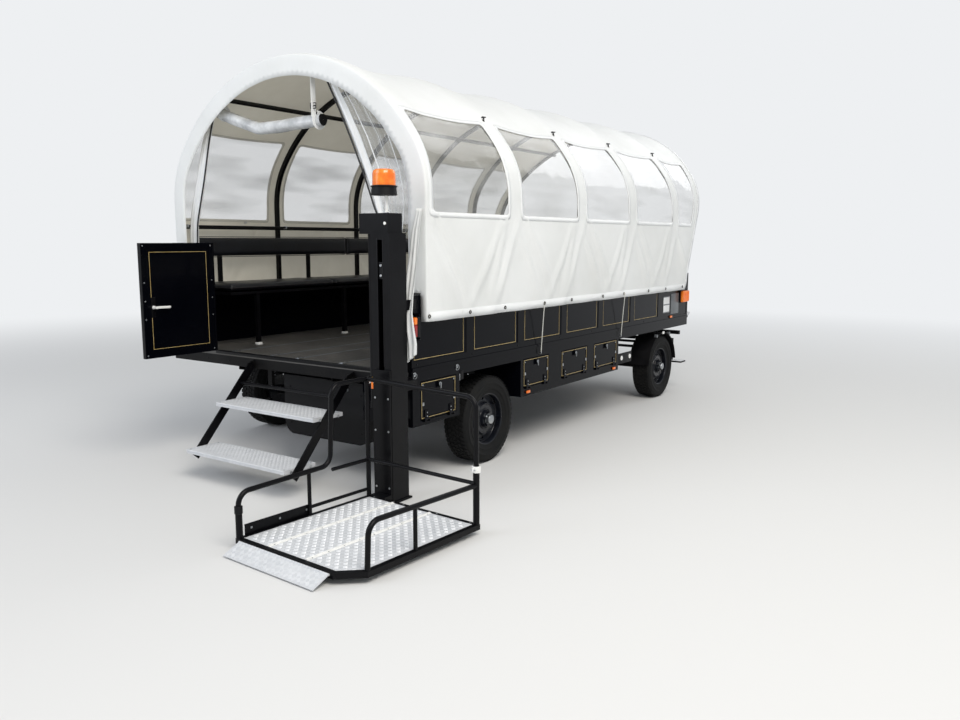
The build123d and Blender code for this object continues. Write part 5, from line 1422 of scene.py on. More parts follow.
@dataclass
class Interior:
    """Ribbed floor, joint strips, padded benches and driver's seat, rails and feet."""

    floor: float = 0.77  # height of the floor
    joints: tuple[float, ...] = (-0.55, -0.13, 0.13, 0.55)  # X of the floor's joint strips
    legs: tuple[float, ...] = (0.33, 1.3, 2.27, 3.24)  # Y of the benches' legs

    def build(self) -> None:
        """Make the floor covering, the seats and the small parts."""
        self._floor()
        self._strips()
        self._seats()
        self._rail()
        self._feet()

    def _slab(self, shape: Shape, x: Pair, y: Pair, z: Pair, bevel: float) -> None:
        """Add a box by its ranges, with its heights measured from the floor."""
        shape.box((x[0], y[0], self.floor + z[0]), (x[1], y[1], self.floor + z[1]), bevel)

    def _floor(self) -> None:
        """Fine ribs over the whole floor and the threshold strip at the rear edge."""
        shape = Shape(FLOOR_BOARD)
        pitch, half = 0.024, 0.0045
        ribs = [(-0.54 + i * pitch, -0.03, 4.4) for i in range(46)]
        ribs += [(side.value * (0.58 + i * pitch), 0.34, 3.62) for side in Side for i in range(23)]
        for x, rear, front in ribs:
            if min(abs(x - j) for j in self.joints) > 0.02:
                self._slab(shape, (x - half, x + half), (rear, front), (-0.0006, 0.0013), 0)
        shape.piece("floor_ribs", "wagon", "floor_grey")
        trim = Shape(POWDER_BLACK)
        self._slab(trim, (-0.7, 1.07), (-0.1018, -0.0998), (-0.018, 0.001), 0.0008)
        self._slab(trim, (-0.7, 1.07), (-0.1, -0.064), (-0.0004, 0.0016), 0.0007)
        trim.piece("floor_threshold", "wagon", "floor_grey")

    def _strips(self) -> None:
        """Pale joint strips along the floor, each with a rounded end fitting and screws."""
        shape = Shape(GREY_SHEET, ZINC)
        for x in self.joints:
            end = 3.66 if abs(x) > 0.3 else 4.38
            self._slab(shape.use(GREY_SHEET), (x - 0.011, x + 0.011), (-0.02, end), (-0.0004, 0.0022),
                       0.0009)
            self._slab(shape.use(ZINC), (x - 0.018, x + 0.018), (-0.06, 0.0), (-0.0004, 0.005), 0.0035)
            for y in (-0.036 + 0.48 * k for k in range(10)):
                if y < end:
                    high = 0.0062 if y < 0 else 0.0034
                    shape.rod((x, y, self.floor + 0.002), (x, y, self.floor + high), 0.0042, 10)
        shape.piece("floor_joint_strips", "wagon", "floor_grey")

    @staticmethod
    def _seats() -> None:
        """All cushions and backrests, from four filled blocks."""
        for name, node, pad, count, x, y, pitch, z in (
                ("seat_cushion", "seat_pads", Pad((0.452, 1.122, 0.069), 0.026, 0.009), 3, 0.9279, 0.06,
                 1.1267, 1.2301),
                ("backrest", "backrests", Pad((0.0492, 1.668, 0.165), 0.02, 0.006, 0.012), 2, 1.1307, 0.08,
                 1.67, 1.5375)):
            filled = pad.fill()
            for side in Side:
                for i in range(count):
                    pad.put_at(filled, f"{name}_{side.word}_{i + 1}",
                               (side.value * x, y + pitch * (i + 0.5), z), side is Side.LEFT, node)
        for name, pad, y, z in (("driver_cushion", Pad((0.606, 0.358, 0.0645), 0.024, 0.009), 3.96, 1.2478),
                                ("driver_backrest", Pad((0.606, 0.041, 0.304), 0.015, 0.005, 0.012), 3.7393,
                                 1.4475)):
            filled = pad.fill()
            for i in range(2):
                pad.put_at(filled, f"{name}_{i + 1}", (-0.305 + 0.61 * i, y, z), False, "driver_cushions")

    @staticmethod
    def _rail() -> None:
        """Thin black rail along both sides above the backrests, with its clips."""
        shape = Shape(BLACK_PLASTIC, ZINC)
        for side in Side:
            out = side.value
            shape.use(BLACK_PLASTIC).tube([(out * 1.142, 0.03, 1.7), (out * 1.142, 4.0, 1.7)], 0.0085,
                                          sides=12)
            shape.side(out, 0.0, [(ZINC, 1.13, 1.1625, y - 0.006, y + 0.006, 1.688, 1.712, 0.003)
                                  for y in (0.0263 + k for k in range(5))])
        shape.piece("side_rails", "wagon", "hoop_steel")

    def _feet(self) -> None:
        """Light feet and bolted plates of the bench legs."""
        shape = Shape(WHITE_CAP, ZINC)
        for x, y in ((side.value * 0.725, y) for side in Side for y in self.legs):
            self._slab(shape.use(WHITE_CAP), (x - 0.021, x + 0.021), (y - 0.021, y + 0.021), (0.0002, 0.02),
                       0.004)
            self._slab(shape.use(ZINC), (x - 0.02, x + 0.02), (y - 0.04, y + 0.04), (0, 0.003), 0.001)
            for dy in (-0.03, 0.03):
                shape.rod((x, y + dy, self.floor + 0.002), (x, y + dy, self.floor + 0.006), 0.005, 10)
        shape.piece("bench_feet", "wagon", "bench_frame")


# --------------------------------------------------------------------------- body work


def frame_line(x: float, y: Pair, z: Pair) -> list[Point]:
    """Corner points of a lined panel on a face that looks along X, from its low rear one."""
    return [(x, y[0], z[0]), (x, y[1], z[0]), (x, y[1], z[1]), (x, y[0], z[1])]


@dataclass
class Bodywork:
    """Lining, toggles, rings, plates and fasteners of the boards and lockers."""

    half: float = 1.2  # half of the body's width
    # first Y, pitch, width and count of the board panels
    panels: tuple[float, float, float, int] = (-0.08, 0.652, 0.56, 6)
    panel_z: Pair = (0.848, 1.076)  # lower and upper height of their lining
    line: float = 0.0025  # width of the lining
    # Y range and lowest height of each lid on the right, from the rear
    lids: tuple[Point, ...] = ((-0.015, 0.357, 0.455), (1.213, 1.585, 0.489), (1.795, 2.235, 0.489),
                               (2.365, 2.81, 0.489))
    lid_top: float = 0.70  # height of the lids' upper edge

    def build(self) -> None:
        """Make everything that is fixed to the boards and lids."""
        self._board_lining()
        for number, (rear, front, low) in enumerate(self.lids, start=1):
            self._lid(Side.RIGHT, number, rear, front, low)
            if number > 1:
                self._lid(Side.LEFT, number - 1, rear, front, low)
        self._fittings()
        self._fasteners()
        self._front_plates()

    def _board_lining(self) -> None:
        """Gold lining round each panel of both boards."""
        shape = Shape(GOLD_LINE)
        first, pitch, width, count = self.panels
        for out in (-1, 1):
            for rear in (first + i * pitch for i in range(count)):
                corners = frame_line(out * (self.half - 0.004), (rear + 0.008, rear + width - 0.03),
                                     self.panel_z)
                shape.line([corners[3], *corners[:3]], out, self.line)
        shape.piece("board_lining", "wagon", "body_paint")

    def _lid(self, side: Side, number: int, rear: float, front: float, low: float) -> None:
        """Lining, rim screws and toggle of one lid.

        Args:
            side: The lid's side.
            number: Its number from the rear.
            rear: Its rear edge's Y.
            front: Its front edge's Y.
            low: Its lower edge's height.
        """
        name, out, high = f"locker_lid_{side.word}_{number}", side.value, self.lid_top
        shape = Shape(GOLD_LINE, ZINC)
        shape.line(frame_line(out * self.half, (rear + 0.009, front - 0.009), (low + 0.01, high - 0.008)),
                   out, self.line, closed=True)
        mid, ends = (rear + front) / 2, (rear + 0.022, front - 0.022)
        boxes = [(ZINC, 0.012, 0.021, mid - 0.004, mid + 0.004, high - 0.062, high - 0.028, 0.002)]
        boxes += [(ZINC, -0.002, 0.004, y - 0.009, y + 0.009, low + 0.09, low + 0.112, 0.002) for y in ends]
        rods = [(ZINC, 0.012, 0.016, mid, high - 0.033, 0.013, 20)]
        rods += [(ZINC, 0.004, 0.0062, y, low + dz, 0.0045, 12) for y in (rear + 0.06, front - 0.06)
                 for dz in (0.018, 0.042)]
        rods += [(ZINC, -0.002, 0.0022, y, high - 0.022, 0.0055, 14) for y in ends]
        shape.side(out, self.half, boxes, rods)
        shape.piece(name + "_lining", name, "body_paint")

    def _fittings(self) -> None:
        """Lashing rings, reflectors, side reflectors' bases and small brackets."""
        shape = Shape(ZINC, BLACK_PLASTIC, LENS_RED, WHITE_CAP)
        ring_z, rings = 0.757, (-0.075, 0.372)
        boxes = ((BLACK_PLASTIC, -0.012, -0.006, 2.84, 3.15, 0.462, 0.56, 0.002),
                 (BLACK_PLASTIC, -0.012, -0.006, 2.8495, 2.853, 0.455, 0.57, 0.001),
                 (BLACK_PLASTIC, 0.0005, 0.0045, 0.405, 0.44, 0.66, 0.72, 0.002))
        rods = [(ZINC, 0, 0.004, y, ring_z, 0.014, 20) for y in rings]
        rods += [(WHITE_CAP, -0.007, -0.001, y, 0.515, 0.021, 24) for y in (2.933, 3.108)]
        for out in (-1, 1):
            shape.side(out, self.half, boxes, rods)
            shape.use(ZINC)
            for y in rings:
                shape.sweep([(out * (self.half + 0.006 + 0.25 * v), y + u, ring_z - 0.012 + v)
                             for v, u in oval(0.016, 0.016, 14)], oval(0.0025, 0.0025, 6), True)
        rear = ((BLACK_PLASTIC, 1.12, 1.165, -0.113, -0.1, 0.338, 0.475, 0.004),
                (BLACK_PLASTIC, 1.135, 1.15, -0.108, -0.096, 0.46, 0.68, 0.002),
                (LENS_RED, 1.124, 1.161, -0.1175, -0.111, 0.345, 0.468, 0.003))
        shape.side(1, 0.0, rear)
        shape.piece("body_fittings", "wagon", "body_paint")

    def _fasteners(self) -> None:
        """Coach screws along the boards, the sill and the rear beam."""
        places = [(y, 0.8175) for y in (-0.05, 0.55, 1.13, 1.76, 2.32, 2.89, 3.4, 4.0, 4.48)]
        places += [(y, z) for y in (-0.082, 4.515) for z in (0.86, 0.95, 1.04, 1.13, 1.21)]
        spots = [Spot((out * (self.half + 0.0002), y, z), (out, 0, 0)) for out in (-1, 1) for y, z in places]
        spots += [Spot((x, -0.1002, 0.708), (0, -1, 0)) for x in (-1.05, -0.8, -0.55, 0.85, 1.05)]
        scatter("board_screws", "wagon", POWDER_BLACK, dome_screw(), spots, 180)

    def _front_plates(self) -> None:
        """Grey plate with its screws, and two pale fittings on a grey one, at each board's front."""
        shape = Shape(GREY_SHEET, TARPAULIN_WELD, ZINC)
        boxes = ((GREY_SHEET, -0.0035, -0.0005, 4.07, 4.28, 0.84, 1.05, 0.002),
                 (GREY_SHEET, 0, 0.0022, 3.86, 4.03, 0.862, 1.03, 0.0015),
                 (TARPAULIN_WELD, 0, 0.0036, 3.87, 4.02, 0.872, 0.94, 0.0015),
                 (TARPAULIN_WELD, 0, 0.0036, 3.87, 4.02, 0.952, 1.02, 0.0015))
        rods = [(ZINC, -0.0005, 0.002, y, z, 0.005, 12) for y in (4.085, 4.265) for z in (0.855, 1.035)]
        for out in (-1, 1):
            shape.side(out, self.half, boxes, rods)
        shape.piece("front_plates", "wagon", "body_paint")


@dataclass
class Lamps:
    """Lens details of the tail lamps, front lamps and side markers."""

    half: float = 1.2  # half of the body's width
    # X range, Y range and Z range of the right tail lamp
    tail: tuple[float, ...] = (1.18, 1.275, -0.1553, -0.1033, 1.0, 1.125)
    front: tuple[float, ...] = (4.3, 4.48, 0.945, 1.073)  # Y range and Z range of the front lamps
    # Y and Z of the side markers
    markers: tuple[Pair, ...] = ((1.242, 0.45), (2.722, 0.446), (4.032, 0.816))

    def build(self) -> None:
        """Make the housings and lenses."""
        x0, x1, y0, y1, z0, z1 = self.tail
        split = z0 + 0.078
        tail = [(BLACK_PLASTIC, x0, x1, y0 + 0.026, y1, z0, z1, 0.004)]
        for lens, low, high in ((LENS_RED, z0 + 0.002, split - 0.0008),
                                (LENS_AMBER, split + 0.0008, z1 - 0.002)):
            tail.append((lens, x0 + 0.002, x1 - 0.002, y0 + 0.002, y0 + 0.03, low, high, 0.007))
            count = int((high - low) / 0.0075)
            tail += [(lens, x0 + 0.012, x1 - 0.012, y0 - 0.0006, y0 + 0.004, z - 0.0012, z + 0.0012, 0.0006)
                     for z in (low + (high - low) * k / count for k in range(1, count))]
        y0, y1, z0, z1 = self.front
        front = [(BLACK_PLASTIC, -0.004, 0.012, y0, y1, z0, z1, 0.004),
                 (LENS_AMBER, 0.01, 0.0385, y0 + 0.004, y1 - 0.004, z0 + 0.004, z1 - 0.004, 0.01)]
        front += [(LENS_AMBER, 0.036, 0.04, y - 0.0018, y + 0.0018, z0 + 0.016, z1 - 0.016, 0.0008)
                  for y in (y0 + (y1 - y0) * k / 14 for k in range(1, 14))]
        markers = [row for y, z in self.markers for row in (
            (BLACK_PLASTIC, 0, 0.005, y, y + 0.056, z - 0.013, z + 0.013, 0.0015),
            (LENS_AMBER, 0.004, 0.0138, y + 0.003, y + 0.053, z - 0.0105, z + 0.0105, 0.0045))]
        for name, slot, node, from_x, boxes in (("tail_lamp_lenses", "tail_lens", "tail_lamps", 0.0, tail),
                                                ("front_lamp_lenses", "amber_lens", "front_lamps", self.half,
                                                 front),
                                                ("marker_lenses", "amber_lens", "side_markers", self.half,
                                                 markers)):
            shape = Shape(BLACK_PLASTIC, LENS_AMBER, LENS_RED)
            for out in (-1, 1):
                shape.side(out, from_x, boxes)
            shape.piece(name, "wagon", slot, node)


@dataclass
class Door:
    """The rear door's lining, screws, edge trim, hinge bolts and lever."""

    faces: Point = (-0.68, -0.65, -0.653)  # X of the door's left and right face and of the recessed panel
    y_range: Pair = (-0.715, -0.13)  # rear and front Y
    z_range: Pair = (0.778, 1.57)  # lower and upper height
    handle: Pair = (-0.637, 1.13)  # Y and Z of the lever's stem

    def build(self) -> None:
        """Make the lining on both faces and the hardware."""
        shape = Shape(GOLD_LINE, POWDER_BLACK)
        (rear, front), (low, high) = self.y_range, self.z_range
        for x, out in ((self.faces[0], -1), (self.faces[2], 1)):
            shape.line(frame_line(x, (rear + 0.066, front - 0.058), (low + 0.062, high - 0.062)), out,
                       0.0026, closed=True)
        for y in self.y_range:
            shape.use(POWDER_BLACK).box((-0.6815, y - 0.0012, low), (-0.6485, y + 0.0012, high), 0.001)
        shape.piece("door_lining", "door", "body_paint")
        spots = [Spot((x, y, z), (out, 0, 0)) for x, out in zip(self.faces, (-1, 1))
                 for y in (rear + 0.018, front - 0.018)
                 for z in (low + 0.02, low + 0.27, (low + high) / 2, high - 0.27, high - 0.02)]
        scatter("door_screws", "door", ZINC, dome_screw(0.0055, 0.0024), spots, 180)
        self._lever()

    def _lever(self) -> None:
        """White lever on a rounded plate, with its keyhole and grip."""
        (y, z), face = self.handle, self.faces[2]
        shape = Shape(WHITE_CAP, POWDER_BLACK)
        shape.use(POWDER_BLACK).box((face, y - 0.017, z - 0.07), (face + 0.0055, y + 0.017, z + 0.07), 0.005)
        shape.rod((face + 0.005, y, z - 0.045), (face + 0.0062, y, z - 0.045), 0.0045, 14)
        shape.box((face + 0.005, y - 0.0012, z - 0.055), (face + 0.0062, y + 0.0012, z - 0.045), 0.0004)
        shape.use(WHITE_CAP).lathe([(0, 0), (0.013, 0), (0.0115, 0.008), (0.008, 0.014), (0.008, 0.03),
                                    (0.0095, 0.04), (0, 0.041)], (face + 0.004, y, z), (1, 0, 0), 20)
        grip = ((0.034, -0.004, 0), (0.036, 0.02, 0), (0.034, 0.07, -0.001), (0.033, 0.105, -0.002),
                (0.028, 0.115, -0.002))
        shape.sweep(rounded([(face + dx, y + dy, z + dz) for dx, dy, dz in grip], 0.02),
                    oval(0.0052, 0.0085, 12), up=UP)
        shape.piece("door_lever", "door", "handle_white", "door_handle")


# --------------------------------------------------------------------------- steps and lift


def tread_bar(long: float = 0.024, wide: float = 0.0042, high: float = 0.0014) -> Shape:
    """One raised bar of chequer plate, along X, with sloping ends."""
    form = Shape()
    a, b = long / 2, wide / 2
    foot = [(-a, 0.0), (-a * 0.6, -b), (a * 0.6, -b), (a, 0.0), (a * 0.6, b), (-a * 0.6, b)]
    form.bump([(x, y, -0.0002) for x, y in foot], [(x * 0.74, y * 0.45, high) for x, y in foot])
    return form


def chequer(place: Matrix, width: float, depth: float, pitch: float = 0.03, group: int = 5,
            grow: float = 1.0) -> list[Spot]:
    """Places of the bars of a chequer plate, in groups that turn by a quarter from one to the next.

    Args:
        place: Matrix from the plate's own top face, X across and Y along, to the wagon.
        width: Size along X.
        depth: Size along Y.
        pitch: Distance between the groups' middles.
        group: Bars in a group.
        grow: Size of the bars against the form.

    Returns:
        The bars' places.
    """
    turn = place.to_3x3()
    spots, normal = [], (turn @ Vector(UP)).normalized()
    columns, rows = int((width - 0.012) / pitch), int((depth - 0.012) / pitch)
    for i in range(columns):
        for j in range(rows):
            x = (width - columns * pitch) / 2 + (i + 0.5) * pitch
            y = (depth - rows * pitch) / 2 + (j + 0.5) * pitch
            own = radians(45 if (i + j) % 2 else -45)
            bar = Vector((cos(own), sin(own), 0))
            spin = spin_to(normal, turn @ bar)
            for k in range(group):
                off = (k - (group - 1) / 2) * pitch / (group + 0.6)
                spots.append(Spot(tuple(place @ Vector((x - bar.y * off, y + bar.x * off, 0))),
                                  tuple(normal), spin, grow))
    return spots


@dataclass
class Steps:
    """The two fixed steps at the rear and the footboard: plates' bars, fasteners and nosings."""

    x_range: Pair = (-0.26, 0.69)  # the treads' left and right edges
    # rear Y, front Y and top of each tread
    treads: tuple[Point, ...] = ((-0.456, -0.194, 0.48), (-0.709, -0.447, 0.2))
    stringers: Pair = (-0.27, 0.7)  # X of each stringer's outer face

    def build(self) -> None:
        """Make the plates' bars, the fasteners and the nosings."""
        left, right = self.x_range
        bars, screws, nosings = [], [], Shape(TREAD_BAR)
        for rear, front, top in self.treads:
            corner = Matrix.Translation((left, rear, top))
            bars += chequer(corner, right - left, front - rear, 0.0165, 1, 0.62)
            screws += [Spot((x, y, top)) for x in (left + 0.02, right - 0.02)
                       for y in (rear + 0.02, front - 0.02)]
            nosings.sweep([(x, rear + 0.002, top - 0.004) for x in (left + 0.004, right - 0.004)],
                          oval(0.004, 0.0045, 10))
        bolts = []
        for x, out in zip(self.stringers, (-1, 1)):
            places = [(y, top - 0.017) for rear, front, top in self.treads
                      for y in (rear + 0.05, front - 0.05)]
            bolts += [Spot((x, y, z), (out, 0, 0)) for y, z in (*places, (-0.15, 0.62), (-0.15, 0.68))]
        board = chequer(Matrix.Translation((-1.1, 4.53, 0.763)), 2.2, 0.225)
        scatter("step_chequer", "steps", TREAD_BAR, tread_bar(), bars)
        scatter("footboard_chequer", "wagon", TREAD_BAR, tread_bar(), board)
        scatter("step_bolts", "steps", ZINC, hex_bolt(0.012, 0.0055), bolts, 180)
        scatter("step_screws", "steps", ZINC, dome_screw(0.006, 0.0026), screws, 180)
        nosings.piece("step_nosings", "steps", "step_steel")


@dataclass
class Lift:
    """Wheelchair lift: deck plates, rails' clamps, mast's bolts, caps and beacon details."""

    origin: Pair = (1.122, -0.425)  # the deck's front left corner
    turn_deg: float = -3.5  # the deck's turn about Z
    width: float = 0.86  # the deck's width
    depth: float = 0.955  # its depth
    top: float = 0.06  # height of its plates
    joints: Pair = (0.232, 0.521)  # local X of the plates' joints

    def __post_init__(self) -> None:
        """Set the matrix from the deck's own frame to the wagon's."""
        turn = Matrix.Rotation(radians(self.turn_deg), 4, "Z")
        self.place = Matrix.Translation((*self.origin, 0.0)) @ turn

    def build(self) -> None:
        """Make the deck, rails, mast and beacon details."""
        self._plates()
        self._joints()
        self._rails()
        self._mast()
        self._beacon()

    def _plates(self) -> None:
        """Chequer bars over the three deck plates and the flap."""
        bars, edges = [], (0.032, *self.joints, self.width - 0.032)
        back = self.place.inverted()
        for a, b in zip(edges, edges[1:]):
            plate = self.place @ Matrix.Translation((a, -self.depth + 0.032, self.top))
            for spot in chequer(plate, b - a, self.depth - 0.064):
                x, y = (back @ Vector(spot.at)).to_2d()
                if (self.width - x) + (y + self.depth) > 0.165:
                    bars.append(spot)
        scatter("deck_chequer", "platform", TREAD_BAR, tread_bar(), bars)
        hinge = Matrix.Translation((0.04, -0.9615, 0.05)) @ Matrix.Rotation(radians(24), 4, "X")
        flap = self.place @ hinge @ Matrix.Translation((0.0, -0.1075, 0.0025))
        scatter("flap_chequer", "flap", TREAD_BAR, tread_bar(),
                chequer(flap, 0.685, 0.1075, 0.0315))

    def _joints(self) -> None:
        """Bolted strips over the plates' joints, the kick plate and the rim's screws."""
        shape = Shape(WHITE_CAP, ZINC, POWDER_BLACK)
        top = self.top
        # The joint strips are white enamel: painted highlight for the bright line along each raised strip.
        boxes = [(WHITE_CAP, (x - half, -self.depth + 0.03, top), (x + half, -0.03, top + high), bevel)
                 for x in self.joints
                 for half, high, bevel in ((0.013, 0.0018, 0.0008), (0.006, 0.0075, 0.0022))]
        boxes.append((POWDER_BLACK, (0.002, -0.9, top), (0.008, -0.45, top + 0.06), 0.0015))
        boxes += [(ZINC, (-0.0005, y - 0.006, top + 0.028), (0.0105, y + 0.006, top + 0.04), 0.003)
                  for y in (-0.86, -0.675, -0.49)]
        for finish, low, high, bevel in boxes:
            shape.use(finish).box(low, high, bevel, self.place)
        shape.use(ZINC)
        for foot in (self.place @ Vector((x, -0.06 - k * 0.104, top + 0.002)) for x in self.joints
                     for k in range(9)):
            shape.rod(foot + Vector((0.008, 0, 0)), foot + Vector((0.008, 0, 0.0022)), 0.0035, 12)
        for foot in (self.place @ Vector((x, -0.015, top)) for x in (0.06, 0.3, 0.56, 0.8)):
            shape.rod(foot, foot + Vector((0, 0, 0.0035)), 0.0055, 14)
        shape.piece("deck_joint_strips", "platform", "tread_plate")

    def _rails(self) -> None:
        """White clamp, its bolt and the black sleeve on the deck's rails."""
        shape = Shape(WHITE_CAP, BLACK_PLASTIC, ZINC)
        w = self.width
        shape.lathe([(0.0185, 0), (0.0235, 0.001), (0.0245, 0.006), (0.0245, 0.03), (0.0235, 0.035),
                     (0.0185, 0.036)], self.place @ Vector((w - 0.015, -0.015, 0.35)), UP, 28)
        shape.box((w - 0.019, -0.05, 0.357), (w - 0.011, -0.036, 0.379), 0.002, self.place)
        shape.use(ZINC).rod(self.place @ Vector((w - 0.03, -0.043, 0.368)),
                            self.place @ Vector((w, -0.043, 0.368)), 0.003, 10)
        shape.use(BLACK_PLASTIC).lathe([(0.0182, 0), (0.0215, 0.002), (0.0215, 0.04), (0.0182, 0.042)],
                                       self.place @ Vector((0.015, -self.depth + 0.015, 0.19)), UP, 24)
        shape.piece("deck_rail_clamps", "platform", "rail_steel")

    @staticmethod
    def _mast() -> None:
        """Bolts, caps, slot lining and the brass-tipped stop on the mast."""
        shape = Shape(WHITE_CAP, ZINC, BLACK_PLASTIC, LENS_AMBER, BRASS)
        rods = [(WHITE_CAP, 1.205, 1.685, -0.3352, -0.3402, 0.009, 18)]
        for x in (1.075, 1.112):
            rods += [(WHITE_CAP, x, 0.742, -0.346, -0.355, 0.0125, 18),
                     (WHITE_CAP, x, 0.742, -0.352, -0.36, 0.007, 6)]
        rods += [(ZINC, 1.17, z, -0.338, -0.343, 0.0085, 6) for z in (1.38, 1.44)]
        rods += [(ZINC, x, z, -0.3603, -0.3645, 0.007, 6) for z in (0.1, 0.25, 0.45, 0.65)
                 for x in (1.128, 1.231)]
        for finish, x, z, foot, tip, radius, sides in rods:
            shape.use(finish).rod((x, foot, z), (x, tip, z), radius, sides)
        stops = [(ZINC, x, y, 1.745, 1.7495, 0.0075, 6) for x in (1.02, 1.205) for y in (-0.31, -0.23)]
        # The amber stop takes the lens finish, so its glow is painted light too.
        stops += [(LENS_AMBER, 1.104, -0.352, 0.70, 0.742, 0.011, 18),
                  (BRASS, 1.104, -0.352, 0.742, 0.772, 0.0065, 14)]
        for finish, x, y, foot, tip, radius, sides in stops:
            shape.use(finish).rod((x, y, foot), (x, y, tip), radius, sides)
        shape.use(BLACK_PLASTIC).box((1.15, -0.338, 1.36), (1.19, -0.33, 1.46), 0.003)
        for x in (1.148, 1.192):
            shape.box((x - 0.003, -0.3462, 0.84), (x + 0.003, -0.3442, 1.6), 0.0008)
        shape.piece("mast_fittings", "wagon", "mast_paint")

    @staticmethod
    def _beacon() -> None:
        """Ribs and a foot ring of the amber beacon, and its white post's collar."""
        shape = Shape(LENS_AMBER, BLACK_PLASTIC, WHITE_CAP)
        x, y, z = 1.145, -0.27, 1.9
        for u, v in oval(1.0, 1.0, 36):
            shape.tube([(x + u * r, y + v * r, z + up) for r, up in ((0.0665, 0.008), (0.066, 0.07))],
                       0.0022, sides=6)
        post = (1.162, -0.27)
        for finish, profile, foot, sides in (
                (BLACK_PLASTIC, [(0.074, 0), (0.079, 0.002), (0.079, 0.008), (0.071, 0.011)], (x, y, 1.896),
                 48),
                (WHITE_CAP, [(0.0082, 0), (0.016, 0.001), (0.016, 0.01), (0.0082, 0.014)], (*post, 1.745),
                 24),
                (WHITE_CAP, [(0.0082, 0), (0.0092, 0.0), (0.0092, 0.095), (0.0082, 0.095)], (*post, 1.752),
                 24)):
            shape.use(finish).lathe(profile, foot, UP, sides)
        shape.piece("beacon_details", "wagon", "beacon_amber")


# --------------------------------------------------------------------------- running gear


